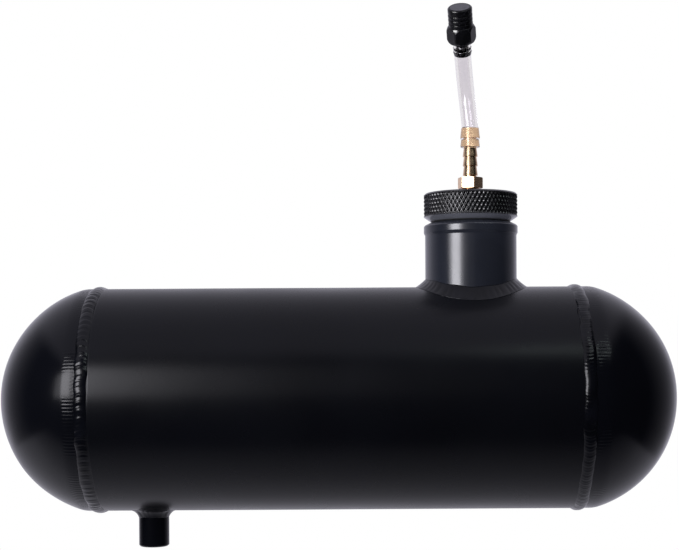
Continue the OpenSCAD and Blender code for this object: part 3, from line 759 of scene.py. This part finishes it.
def girth_bead(side):
    """A girth weld: a low crown across the joint whose width wanders, with crescent ripples laid
    round it one after another, and a root that fills the gap between the sheets. The left bead
    lies nearer its head, and the right one is flatter."""
    shell = bpy.context.scene.tank_shell
    drift = shell.bead_drift if side < 0 else 0
    height_share = shell.bead_ripple * (1.0 if side < 0 else shell.bead_right)
    bow = 1.9
    columns = 1080
    across = np.linspace(-1, 1, 23)[:, None]
    theta = (np.arange(columns) * TURN / columns)[None, :]
    half_width = BEAD_W / 2 * shell.bead_spread * (1 + waves(theta, 21 + side, 37, 0.22))
    shift = waves(theta, 31 + side, 43, 1.6 * MM) + drift
    ripples = round(TURN * TANK_R / shell.bead_pitch)
    phase = ripples * theta + bow * across**2 + waves(theta, 41 + side, 23, 5.0)
    scale = 1 - np.abs(np.sin(phase / 2)) ** 1.5
    strength = height_share * (0.8 + waves(theta, 51 + side, 29, 1.2))
    fine = 0.03 * np.cos(2.4 * phase + 1.1 * across)
    rise = (1 - across**2) ** 0.85 * (0.97 - strength * scale + fine)
    bury = 0.15 * MM
    crown_r = TANK_R - bury + (BEAD_R - TANK_R + bury) * rise
    crown_y = across * half_width + shift
    root = TANK_R - shell.wall - 0.8 * MM
    under = [(TANK_R - 0.4 * MM, 0.85), (TANK_R - 0.4 * MM, 0.25), (root + 0.8 * MM, 0.22), (root, 0.12)]
    under = under + [(radius, -offset) for radius, offset in reversed(under)]
    under_r = np.array([radius for radius, _ in under])[:, None] + 0 * theta
    under_y = np.array([offset for _, offset in under])[:, None] * BEAD_W / 2 + 0 * theta
    radius = np.concatenate([crown_r, under_r])
    height = np.concatenate([crown_y, under_y]) + BEAD_X
    points = np.stack([radius * np.cos(theta), radius * np.sin(theta), height], -1).reshape(-1, 3)
    return at_end(points, side), grid_faces(len(radius), columns, True).tolist()


def fillet_weld(tube_r, out, up, hollowed, ripple_count, seed):
    """The weld round a tube that stands upright on the barrel. At each angle its face runs from
    the tube down to the shell, hollowed by a share of its legs, and crescent ripples follow it
    round. Both legs stray a little inside their full size."""
    ripple_height = bpy.context.scene.tank_shell.fillet_ripple
    bury = 0.12 * MM
    columns = 540
    rows = 17
    phi = (np.arange(columns) * TURN / columns)[None, :]
    t = np.linspace(0, 1, rows)[:, None]

    def on_shell(radius):
        return np.sqrt(TANK_R**2 - (radius * np.sin(phi)) ** 2)

    legs = 0.96 + waves(phi, seed, 13, 0.14)
    toe = tube_r + out * legs
    toe_z = on_shell(toe)
    top_z = on_shell(tube_r) + up * (0.92 + waves(phi, seed + 1, 13, 0.16))
    hollow = hollowed * 4 * t * (1 - t)
    phase = ripple_count * phi + 1.5 * (2 * t - 1) ** 2 + waves(phi, seed + 2, 19, 4.0)
    ripple = ripple_height * np.abs(np.cos(phase / 2)) ** 0.8 * np.sin(math.pi * t)
    face_r = toe + (tube_r - toe) * t - hollow * out + ripple * 0.6
    face_z = toe_z + (top_z - toe_z) * t - hollow * up + ripple * 0.8
    u = np.linspace(0, 1, 5)[:, None]
    under_r = tube_r + (toe - tube_r) * u
    under_z = on_shell(under_r) - bury * (1 - u)
    radius = np.concatenate([face_r, under_r[:-1]])
    height = np.concatenate([face_z, under_z[:-1]])
    points = np.stack([radius * np.cos(phi), radius * np.sin(phi), height], -1).reshape(-1, 3)
    return points, grid_faces(len(radius), columns, True).tolist()


class TANK_OT_shell(bpy.types.Operator):
    """Build the barrel and the two domed heads"""

    bl_idname = "tank.shell"
    bl_label = "Shell"

    def execute(self, context):
        wall = context.scene.tank_shell.wall
        points, faces = barrel_sheet()
        barrel = add_piece(
            "barrel_shell", points, faces.tolist(), finish("shell_coat"), "tank", ("barrel",)
        )
        thick = barrel.modifiers.new("wall", "SOLIDIFY")
        thick.thickness = wall
        thick.offset = -1
        for side, name in ((-1, "left"), (1, "right")):
            points, faces = head_surface(side)
            replaced = ("head_" + name,)
            add_piece("dome_" + name, points, faces, finish("head_coat"), "tank", replaced)
        return {"FINISHED"}


class TANK_OT_welds(bpy.types.Operator):
    """Build the girth welds and the fillet welds of neck and outlet"""

    bl_idname = "tank.welds"
    bl_label = "Welds"

    def execute(self, context):
        shell = context.scene.tank_shell
        coat = finish("weld_coat")
        for side, name in ((-1, "left"), (1, "right")):
            points, faces = girth_bead(side)
            add_piece("bead_" + name, points, faces, coat, "tank", ("girth_weld_" + name,))
        tube = context.scene.tank_neck.tube
        legs = (shell.neck_leg_out, shell.neck_leg_up)
        points, faces = fillet_weld(tube, *legs, shell.neck_hollow, shell.neck_ripples, seed=61)
        add_piece("neck_fillet", at_neck(points), faces, coat, "tank", ("neck_weld",))
        legs = (shell.bung_leg_out, shell.bung_leg_up)
        points, faces = fillet_weld(BUNG_R, *legs, shell.bung_hollow, shell.bung_ripples, seed=71)
        points = at_bung(points * np.array([1, -1, -1]))
        add_piece("bung_fillet", points, faces, coat, "tank", ("bung_weld",))
        return {"FINISHED"}


# ------------------------------------------------------------------ filler neck, outlet and cap


def helix_offset(neck, height, theta, first):
    """For a right-handed helix that starts at the height first at angle 0: the distance along Z
    to the centre of its nearest turn, and how many turns from the start that is."""
    turns = (height - first) / neck.pitch - theta / TURN
    nearest = np.round(turns)
    return (turns - nearest) * neck.pitch, nearest + theta / TURN


def thread_start(neck):
    """Height at which the plug's thread begins."""
    return PLUG_FOOT + 1 * MM + neck.ridge_foot / 2


class TANK_OT_neck(bpy.types.Operator):
    """Build the filler neck with its inner thread, and the outlet bung"""

    bl_idname = "tank.neck"
    bl_label = "Neck and outlet"

    def execute(self, context):
        neck = context.scene.tank_neck
        shell = context.scene.tank_shell
        coat = finish("neck_coat")
        lip_foot = RIM_Z - neck.lip_height
        bevel = RIM_Z - neck.rim_bevel
        shoulder_foot = bevel - 0.5 * MM
        shoulder_top = bevel + 0.3 * MM
        shoulder_in = 0.7 * MM
        outline = [
            (neck.tube, NECK_FOOT),
            (neck.tube, lip_foot),
            (LIP_R, lip_foot + neck.lip_foot),
            (LIP_R, shoulder_foot),
            (LIP_R - shoulder_in, shoulder_top),
            (neck.rim_r, RIM_Z),
            (neck.bore, RIM_Z),
            (neck.bore, NECK_FOOT),
        ]
        outline = soften(outline, 0.5 * MM)
        first = thread_start(neck) - neck.pitch
        outline = densify(outline, 0.3 * MM, first - 2 * MM, RIM_Z)

        def cut_thread(radius, height, theta):
            """Deepens the bore by a trapezoid groove that follows the cap's helix."""
            offset, turns = helix_offset(neck, height, theta, first)
            foot = neck.ridge_foot + 2 * neck.thread_gap
            crest = neck.ridge_crest + 2 * neck.thread_gap
            rise = np.clip((foot / 2 - np.abs(offset)) / ((foot - crest) / 2), 0, 1)
            in_bore = (radius < neck.bore + 0.05 * MM) & (turns >= 0)
            return radius + neck.ridge * rise * in_bore

        turned_piece(
            "neck_tube", outline, 216, at_neck, coat, "tank", ("filler_neck",), cut_thread
        )
        bung = [
            (BUNG_R - shell.bung_bevel, BUNG_FOOT),
            (BUNG_R, BUNG_FOOT + shell.bung_bevel),
            (BUNG_R, BUNG_TOP),
            (shell.bung_bore, BUNG_TOP),
            (shell.bung_bore, BUNG_FOOT),
        ]
        bung = soften(bung, 0.3 * MM)
        coat = finish("head_coat")
        turned_piece("bung_tube", bung, 144, at_bung, coat, "tank", ("outlet_bung",))
        return {"FINISHED"}


class TANK_OT_cap(bpy.types.Operator):
    """Build the screw cap with its diamond knurl and thread"""

    bl_idname = "tank.cap"
    bl_label = "Cap"

    def execute(self, context):
        neck = context.scene.tank_neck
        vent = context.scene.tank_vent
        plug_r = neck.bore - neck.thread_gap
        foot = CAP_TOP - neck.head_height
        plug_bevel = 0.8 * MM
        knurl_edge = 0.4 * MM
        thread_taper = 9
        on_surface = 0.02 * MM
        seal_gap = 0.05 * MM
        seal_in = 2 * (SEAL_R - (SEAL_TOP - SEAL_FOOT) / 2) - SEAL_R - seal_gap
        seal_out = SEAL_R + seal_gap
        groove_top = SEAL_TOP + seal_gap
        outline = [
            (plug_r - plug_bevel, PLUG_FOOT),
            (plug_r, PLUG_FOOT + plug_bevel),
            (plug_r, foot),
            (seal_in, foot),
            (seal_in, groove_top),
            (seal_out, groove_top),
            (seal_out, foot),
            (neck.rim_r, foot),
            (CAP_R, foot + neck.foot_bevel),
            (CAP_R, CAP_TOP - neck.top_bevel),
            (CAP_R - neck.top_bevel, CAP_TOP),
            (vent.pipe_r, CAP_TOP),
            (vent.pipe_r, CAP_TOP - neck.web),
            (plug_r - neck.plug_wall, CAP_TOP - neck.web),
            (plug_r - neck.plug_wall, PLUG_FOOT),
        ]
        outline = soften(outline, 0.3 * MM)
        count = neck.knurl_columns
        diamond = TURN * CAP_R / count * neck.knurl_slant
        low = foot + neck.foot_bevel
        high = CAP_TOP - neck.top_bevel
        outline = densify(outline, 0.4 * MM, PLUG_FOOT, foot)
        outline = densify(outline, diamond / 10, low, high)
        first = thread_start(neck)

        def cut_rim(radius, height, theta):
            """Raises the thread on the plug, and presses crossed V grooves into the rim, so that
            each diamond left between them is a low pyramid."""
            offset, turns = helix_offset(neck, height, theta, first)
            slope = (neck.ridge_foot - neck.ridge_crest) / 2
            rise = np.clip((neck.ridge_foot / 2 - np.abs(offset)) / slope, 0, 1)
            ends = np.clip(np.minimum(turns, neck.plug_turns - turns) * thread_taper + 0.05, 0, 1)
            on_plug = (np.abs(radius - plug_r) < on_surface) & (height < foot)
            ridge = neck.ridge * rise * ends * on_plug
            climb = (height - low) / diamond
            around = theta * count / TURN
            left = np.abs(2 * ((around + climb) % 1) - 1)
            right = np.abs(2 * ((around - climb) % 1) - 1)
            pyramid = 1 - np.minimum(1 - left, 1 - right)
            fade = np.clip(np.minimum(height - low, high - height) / knurl_edge, 0, 1)
            on_rim = radius > CAP_R - on_surface
            return radius + ridge - neck.knurl_depth * pyramid * fade * on_rim

        turned_piece(
            "cap_knurled",
            outline,
            10 * count,
            at_neck,
            finish("cap_coat"),
            "cap",
            ("filler_cap",),
            cut_rim,
        )
        return {"FINISHED"}


# ------------------------------------------------------------------ vent


def hexagon(af, turn, edge):
    """A function that cuts radii back to a hexagon of width af across its flats, with its upright
    edges rounded to the radius edge: on a flat, half the width over the cosine of the angle from
    the flat's middle, and past it the far side of a circle set inside the corner."""
    corner_r = (af / 2 - edge) / math.cos(TURN / 12)
    flat_end = (af / 2 - edge) * math.tan(TURN / 12)

    def cut(radius, theta):
        from_flat = (theta - turn) % (TURN / 6) - TURN / 12
        from_corner = TURN / 12 - np.abs(from_flat)
        on_flat = np.abs(np.tan(from_flat)) * af / 2 <= flat_end
        inside = np.maximum(edge**2 - (corner_r * np.sin(from_corner)) ** 2, 0)
        rounded = corner_r * np.cos(from_corner) + np.sqrt(inside)
        return np.minimum(radius, np.where(on_flat, af / 2 / np.cos(from_flat), rounded))

    return cut


def barb_profile(height, foot, pitch, count, root, tip):
    """Radius of saw-toothed barbs: widest at each barb's foot, shrinking evenly to the root."""
    place = (height - foot) / pitch
    saw = tip - (tip - root) * (place % 1)
    return np.where((place >= 0) & (place < count), saw, 0)


class TANK_OT_fitting(bpy.types.Operator):
    """Build the brass hose barb"""

    bl_idname = "tank.fitting"
    bl_label = "Brass fitting"

    def execute(self, context):
        vent = context.scene.tank_vent
        hex_foot = CAP_TOP + vent.pipe_out
        hex_top = hex_foot + vent.hex_height
        corner = vent.hex_af / math.sqrt(3)
        bevel_angle = math.radians(30)
        bevel_h = vent.hex_bevel * math.tan(bevel_angle)
        root_bevel = 0.5 * MM
        barb_foot = FITTING_TIP - vent.barbs * vent.barb_pitch
        teeth = math.floor((hex_foot - FITTING_FOOT) / vent.pipe_pitch)
        step = (hex_foot - FITTING_FOOT) / teeth
        outline = [(vent.fitting_bore, FITTING_FOOT)]
        for tooth in range(teeth):
            outline.append((vent.pipe_r - vent.pipe_depth, FITTING_FOOT + tooth * step))
            outline.append((vent.pipe_r, FITTING_FOOT + (tooth + 0.5) * step))
        outline += [
            (vent.pipe_r - vent.pipe_depth, hex_foot),
            (corner - vent.hex_bevel, hex_foot),
            (corner, hex_foot + bevel_h),
            (corner, hex_top - bevel_h),
            (corner - vent.hex_bevel, hex_top),
            (vent.barb_root + root_bevel, hex_top),
            (vent.barb_root, hex_top + root_bevel),
            (vent.barb_root, barb_foot),
        ]
        for barb in range(vent.barbs):
            outline.append((vent.barb_r, barb_foot + barb * vent.barb_pitch))
            outline.append((vent.barb_root, barb_foot + (barb + 1) * vent.barb_pitch))
        outline.append((vent.fitting_bore, FITTING_TIP))
        outline = soften(outline, 0.12 * MM)
        outline = densify(outline, 0.08 * MM, hex_foot, hex_foot + bevel_h)
        outline = densify(outline, 0.08 * MM, hex_top - bevel_h, hex_top)
        turn = math.radians(vent.hex_turn)
        cut = hexagon(vent.hex_af, turn, vent.hex_edge)

        def shape(radius, height, theta):
            on_hex = (height > hex_foot - 0.01 * MM) & (height < hex_top + 0.01 * MM)
            return np.where(on_hex, cut(radius, theta), radius)

        turned_piece(
            "barb_fitting",
            outline,
            240,
            at_neck,
            finish("brass_finish"),
            "cap",
            ("vent_barb_fitting",),
            shape,
            turn,
        )
        return {"FINISHED"}


class TANK_OT_hose(bpy.types.Operator):
    """Build the clear hose between the fitting and the valve"""

    bl_idname = "tank.hose"
    bl_label = "Hose"

    def execute(self, context):
        """Carries a ring along the hose's middle line: straight up the fitting, a cubic curve to
        the stem, and on along the valve's axis. The bore presses a little into the barbs, so that
        no air is left between wall and metal, and slopes away from them. The wall thins as it
        stretches, and both ends are rounded."""
        vent = context.scene.tank_vent
        foot = valve_foot()
        start = np.array([NECK_X, 0, FITTING_TIP])
        end = foot - vent.stem * VALVE_AXIS
        up = np.array([0, 0, 1.0])
        grip = (FITTING_TIP - HOSE_FOOT) * np.linspace(-1, 0, 64)[:-1, None]
        stem_length = vent.stem - 0.05 * MM
        bore_slope = 0.42
        thinning = 0.2
        end_round = 0.25 * MM
        end_length = 0.4 * MM
        t = np.linspace(0, 1, 120)[:, None]
        lead_in = start + vent.lead_in * up
        lead_out = end - vent.lead_out * VALVE_AXIS
        curve = cubic(start, lead_in, lead_out, end, t)
        stem = stem_length * np.linspace(0, 1, 56)[1:, None]
        path = np.concatenate([start + grip * up, curve, end + stem * VALVE_AXIS])
        along = unit(np.gradient(path, axis=0))
        steps = np.linalg.norm(np.diff(path, axis=0), axis=1)
        travel = np.concatenate([[0], np.cumsum(steps)])
        on_fitting = FITTING_TIP - vent.barbs * vent.barb_pitch - HOSE_FOOT
        held = barb_profile(travel, on_fitting, vent.barb_pitch, vent.barbs, vent.barb_root, vent.barb_r)
        stem_at = travel[-1] - stem_length
        place = (travel - stem_at) / vent.stem_pitch
        stem_r = vent.stem_root + (vent.stem_barb - vent.stem_root) * (place % 1)
        held = np.maximum(held, np.where((place > 0) & (place < vent.stem_barbs), stem_r, 0))
        held = np.maximum(held, np.where(place >= vent.stem_barbs, vent.stem_root, 0)) - vent.hose_grip
        slack = bore_slope * np.abs(travel[:, None] - travel[None, :])
        bore = np.maximum((held[None, :] - slack).max(1), vent.hose_bore)
        wall = vent.hose_r - vent.hose_bore - thinning * (bore - vent.hose_bore)
        from_end = np.minimum(travel, travel[-1] - travel)
        outer = bore + wall - end_round * np.clip(1 - from_end / end_length, 0, 1) ** 2
        columns = 72
        theta = np.arange(columns) * TURN / columns
        side = unit(np.cross(along, np.array([1.0, 0, 0])))
        front = np.cross(side, along)
        ring = np.cos(theta)[None, :, None] * front[:, None] + np.sin(theta)[None, :, None] * side[:, None]
        outside = path[:, None] + ring * outer[:, None, None]
        inside = (path[:, None] + ring * bore[:, None, None])[::-1]
        points = np.concatenate([outside, inside]).reshape(-1, 3)
        faces = grid_faces(2 * len(path), columns, True).tolist()
        add_piece("hose_tube", points, faces, finish("hose_finish"), "cap", ("vent_hose",))
        return {"FINISHED"}


class TANK_OT_valve(bpy.types.Operator):
    """Build the breather valve's body and ribbed top, and the grey face on its top"""

    bl_idname = "tank.valve"
    bl_label = "Valve"

    def execute(self, context):
        vent = context.scene.tank_vent
        coat = finish("valve_coat")
        corner = vent.valve_af / math.sqrt(3)
        spigot_foot = vent.ball_rest + 0.5 * MM
        undercut = 0.02 * MM
        crown_edge = 1 * MM
        recess = 0.3 * MM
        hole_r = 0.42 * MM
        hole_depth = 2 * MM
        outline = [(vent.valve_bore, -vent.stem), (vent.stem_root, -vent.stem)]
        for barb in range(vent.stem_barbs):
            top = -vent.stem + (barb + 1) * vent.stem_pitch
            outline += [(vent.stem_barb, top), (vent.stem_root, top + undercut)]
        outline += [
            (vent.stem_root, 0),
            (corner - vent.valve_bevel, 0),
            *[(corner - vent.valve_bevel * (1 - t) ** 2, vent.valve_bevel_h * t) for t in (0.3, 0.65, 1.0)],
            *[
                (corner - vent.valve_bevel * t**2, vent.valve_hex - vent.valve_bevel_h * (1 - t))
                for t in (0.0, 0.35, 0.7)
            ],
            (corner - vent.valve_bevel, vent.valve_hex),
            (vent.spigot + vent.seal_cord, vent.valve_hex),
            (vent.spigot + vent.seal_cord, vent.valve_hex - 2 * vent.seal_cord),
            (vent.spigot, vent.valve_hex - 2 * vent.seal_cord),
            (vent.spigot, spigot_foot),
            (vent.chamber, spigot_foot),
            (vent.chamber, vent.chamber_foot),
            (vent.valve_bore, vent.chamber_foot),
        ]
        outline = soften(outline, 0.25 * MM)
        outline = densify(outline, 0.15 * MM, 0, vent.valve_bevel_h)
        outline = densify(outline, 0.15 * MM, vent.valve_hex - vent.valve_bevel_h, vent.valve_hex)
        cut = hexagon(vent.valve_af, 0, vent.valve_edge)

        def shape(radius, height, theta):
            on_hex = (height > -0.01 * MM) & (radius > vent.spigot + vent.seal_cord)
            return np.where(on_hex, cut(radius, theta), radius)

        turned_piece(
            "valve_hexagon", outline, 240, at_valve, coat, "cap", ("valve_body",), shape
        )

        top = vent.valve_hex + vent.crown_height
        first = vent.valve_hex + vent.groove_first
        vents = first + vent.groove_pitch + vent.groove_width / 2
        rim = vent.crown_r - 1.2 * MM
        floor_r = vent.crown_r - vent.groove_depth
        outline = [
            (0, vents + vent.valve_bore / 2),
            (vent.valve_bore, vents + vent.valve_bore / 2),
            (vent.valve_bore, vent.seat_top),
            (vent.chamber, vent.seat_top),
            (vent.chamber, spigot_foot),
            (vent.spigot, spigot_foot),
            (vent.spigot, vent.valve_hex),
            (vent.crown_r, vent.valve_hex),
        ]
        for groove in range(vent.grooves):
            low = first + groove * vent.groove_pitch
            high = low + vent.groove_width
            outline += [(vent.crown_r, low), (floor_r, low), (floor_r, high), (vent.crown_r, high)]
        outline += [
            *[(vent.crown_r - crown_edge * t**2, top - crown_edge * (1 - t)) for t in (0.0, 0.35, 0.7, 1.0)],
            (rim, top),
            (rim, top - recess),
            (0, top - recess),
        ]
        outline = soften(outline, 0.2 * MM, closed=False)
        outline = densify(outline, 0.09 * MM, vents - 0.7 * MM, vents + 0.7 * MM, closed=False)

        def drill(radius, height, theta):
            """Sinks small vent holes into the floor of the second groove, evenly round it."""
            share = TURN / vent.vent_holes
            from_hole = ((theta + share / 2) % share - share / 2) * floor_r
            inside = np.hypot(from_hole, height - vents) < hole_r
            return radius - hole_depth * (inside & (np.abs(radius - floor_r) < 0.03 * MM))

        points, faces = capped_surface(outline, 360, drill)
        add_piece("valve_crown", at_valve(points), faces, coat, "cap", ("valve_top",))
        disc_r = rim - 0.1 * MM
        disc_foot = top - 0.28 * MM
        disc_top = top - 0.08 * MM
        disc = [(0, disc_foot), (disc_r, disc_foot), (disc_r, disc_top), (0, disc_top)]
        points, faces = capped_surface(soften(disc, 0.1 * MM, closed=False), 120)
        add_piece("valve_face", at_valve(points), faces, finish("valve_face_finish"), "cap")
        return {"FINISHED"}


class TANK_OT_seals(bpy.types.Operator):
    """Give the seals, the valve seat and the check ball their finishes"""

    bl_idname = "tank.seals"
    bl_label = "Seals and ball"

    def execute(self, context):
        worn = dict.fromkeys(("cap_o_ring", "valve_o_ring", "valve_seat"), "rubber_finish")
        worn["valve_ball"] = "steel_finish"
        for node, name in worn.items():
            frame["nodes"][node].data.materials.clear()
            frame["nodes"][node].data.materials.append(finish(name))
        return {"FINISHED"}


# ------------------------------------------------------------------ stage


def panel_mesh(name, corners, material):
    """A flat stage piece with the given corners."""
    mesh = bpy.data.meshes.new(name)
    mesh.from_pydata(corners, [], [range(len(corners))])
    mesh.materials.append(material)
    card = bpy.data.objects.new(name, mesh)
    bpy.context.scene.collection.objects.link(card)
    return card


def softbox(name, place, target, size, power, tint=(1, 1, 1)):
    """A rectangular area light that faces a target and stays out of the picture."""
    lamp = bpy.data.lights.new(name, "AREA")
    lamp.shape = "RECTANGLE"
    lamp.size, lamp.size_y = size
    lamp.energy = power
    lamp.color = tint
    light = bpy.data.objects.new(name, lamp)
    light.location = place
    light.rotation_euler = (Vector(target) - Vector(place)).to_track_quat("-Z", "Y").to_euler()
    light.visible_camera = False
    bpy.context.scene.collection.objects.link(light)
    return light


def set_camera(scene, stage):
    """A level camera in front of the tank, with a slight roll and a shifted picture."""
    data = bpy.data.cameras.new("camera")
    data.lens = 73.77
    data.sensor_width = 36
    data.shift_x = -0.0431
    data.shift_y = 0.1018
    data.clip_start = 0.01
    camera = bpy.data.objects.new("camera", data)
    scene.collection.objects.link(camera)
    level = Matrix.Rotation(math.radians(90), 4, "X")
    roll = Matrix.Rotation(math.radians(-0.34), 4, "Z")
    place = Matrix.Translation((stage.across, -stage.distance, stage.height))
    camera.matrix_world = place @ level @ roll
    scene.camera = camera


def set_surroundings(scene, stage):
    """An even backdrop: bright where the camera sees it, also through the clear hose, and dimmer
    and slightly violet where it lights the tank or is mirrored in it."""
    world = bpy.data.worlds.new("surroundings")
    world.use_nodes = True
    tree = world.node_tree
    background = tree.nodes["Background"]
    path = tree.nodes.new("ShaderNodeLightPath").outputs
    tone = tree.nodes.new("ShaderNodeMix")
    tone.data_type = "RGBA"
    tone.inputs["A"].default_value = (*stage.fill_tint, 1)
    tone.inputs["B"].default_value = (1, 1, 1, 1)
    seen = calculate(tree, "MAXIMUM", path["Is Camera Ray"], path["Is Transmission Ray"])
    tree.links.new(seen, tone.inputs["Factor"])
    tree.links.new(tone.outputs["Result"], background.inputs["Color"])
    strength = rescale(tree, seen, stage.fill, stage.backdrop, 0.0, 1.0)
    tree.links.new(strength, background.inputs["Strength"])
    scene.world = world


def add_floor(stage):
    """A plain, pale, round floor."""
    sides = 96
    radius = 1.5
    pale, _, _ = new_finish("pale_floor", (0.8, 0.8, 0.8), 0.9)
    angle = np.arange(sides) * TURN / sides
    height = np.full(sides, -stage.floor_drop)
    panel_mesh("floor", np.stack([radius * np.cos(angle), radius * np.sin(angle), height], -1).tolist(), pale)


def card_finish(ground_z):
    """Dull black that fades out towards the back and the top. Along the ground it fades out
    between the front and the barrel's axis."""
    material, tree, shader = new_finish("black_card", (0, 0, 0), 1.0, Specular_IOR_Level=0.0)
    axes = object_axes(tree)
    back_fade = rescale(tree, axes["Y"], 1.0, 0.0, -0.05, 0.80)
    top_fade = rescale(tree, axes["Z"], 1.0, 0.0, 0.58, 0.76)
    on_ground = rescale(tree, axes["Z"], 1.0, 0.0, ground_z + 1 * MM, ground_z + 2 * MM)
    towards_axis = rescale(tree, axes["Y"], 0.0, 1.0, -0.40, 0.0)
    above_ground = calculate(tree, "SUBTRACT", 1.0, product(tree, on_ground, towards_axis))
    tree.links.new(product(tree, back_fade, top_fade, above_ground), shader.inputs["Alpha"])
    return material


def add_cards(stage):
    """Black cards in front, at both sides and on the ground, that only mirrored rays see. They
    keep the coat dark where the backdrop would show in it."""
    left, right, front, back = -0.95, 0.70, -0.66, 0.8
    low, high = -stage.floor_drop + 2 * MM, 0.76
    black = card_finish(low)
    cards = {}
    for name, (x_1, y_1), (x_2, y_2) in (
        ("card_front", (left, front), (right, front)),
        ("card_left", (left, front), (left, back)),
        ("card_right", (right, front), (right, back)),
    ):
        cards[name] = [(x_1, y_1, low), (x_2, y_2, low), (x_2, y_2, high), (x_1, y_1, high)]
    cards["card_low"] = [(left, front, low), (right, front, low), (right, 0.0, low), (left, 0.0, low)]
    for name, corners in cards.items():
        card = panel_mesh(name, corners, black)
        for ray in ("camera", "diffuse", "transmission", "shadow", "volume_scatter"):
            setattr(card, "visible_" + ray, False)


def add_lights(stage):
    """The main softbox as a row of panels whose brightness falls off to both sides, a strip over
    the right end, and a small light that only the valve catches."""
    key_tall = 0.34
    key_y = -0.6
    key_z = 0.22
    edges = (-0.93, -0.69, -0.27, -0.17, -0.05, 0.12)
    shares = (0.28, 1.0, 0.18, 0.035, 0.012)
    for index, (near, far, share) in enumerate(zip(edges, edges[1:], shares)):
        wide = far - near
        middle_x = (near + far) / 2
        softbox(
            f"key_{index}",
            place=(middle_x, key_y, key_z),
            target=(middle_x, 0, key_z),
            size=(wide, key_tall),
            power=stage.key * share * math.pi * wide * key_tall,
            tint=stage.key_tint,
        )
    softbox(
        "strip",
        place=(0.4, -0.5, 0.605),
        target=(0.3, -0.06, 0.03),
        size=(0.5, 0.06),
        power=stage.strip,
        tint=(0.85, 1.0, 0.95),
    )
    catching = bpy.data.collections.new("valve_only")
    for name in ("valve_hexagon", "valve_crown"):
        catching.objects.link(bpy.data.objects[name])
    glint = softbox(
        "glint", place=(-0.355, -0.37, 0.39), target=tuple(valve_foot()), size=(0.26, 0.26), power=stage.glint
    )
    glint.light_linking.receiver_collection = catching


class TANK_OT_stage(bpy.types.Operator):
    """Set up the camera, the surroundings, the floor, the cards and the lights"""

    bl_idname = "tank.stage"
    bl_label = "Stage"

    def execute(self, context):
        scene = context.scene
        stage = scene.tank_stage
        scene.view_settings.view_transform = "Standard"
        set_camera(scene, stage)
        set_surroundings(scene, stage)
        add_floor(stage)
        add_cards(stage)
        add_lights(stage)
        return {"FINISHED"}


# ------------------------------------------------------------------ sidebar and registration

OPERATORS = (
    TANK_OT_shell,
    TANK_OT_welds,
    TANK_OT_neck,
    TANK_OT_cap,
    TANK_OT_fitting,
    TANK_OT_hose,
    TANK_OT_valve,
    TANK_OT_seals,
    TANK_OT_stage,
)
SETTINGS = {
    "tank_shell": TankShellSettings,
    "tank_neck": TankNeckSettings,
    "tank_vent": TankVentSettings,
    "tank_finish": TankFinishSettings,
    "tank_stage": TankStageSettings,
}


class TANK_PT_panel(bpy.types.Panel):
    """Lists the tank's pieces and settings"""

    bl_idname = "TANK_PT_panel"
    bl_label = "Vented Fluid Tank"
    bl_space_type = "VIEW_3D"
    bl_region_type = "UI"
    bl_category = "Tank"

    def draw(self, context):
        for operator in OPERATORS:
            self.layout.operator(operator.bl_idname)
        for name, settings in SETTINGS.items():
            box = self.layout.box()
            box.label(text=settings.__doc__)
            for key in settings.__annotations__:
                box.prop(getattr(context.scene, name), key)


def register():
    """Registers the settings, the operators and the panel."""
    for name, settings in SETTINGS.items():
        bpy.utils.register_class(settings)
        setattr(bpy.types.Scene, name, bpy.props.PointerProperty(type=settings))
    for item in (*OPERATORS, TANK_PT_panel):
        bpy.utils.register_class(item)


def unregister():
    """Removes everything that register added."""
    for item in (TANK_PT_panel, *reversed(OPERATORS)):
        bpy.utils.unregister_class(item)
    for name, settings in SETTINGS.items():
        delattr(bpy.types.Scene, name)
        bpy.utils.unregister_class(settings)


def main():
    """Builds everything in order."""
    register()
    for operator in OPERATORS:
        group, name = operator.bl_idname.split(".")
        getattr(getattr(bpy.ops, group), name)()


if __name__ == "__main__":
    main()
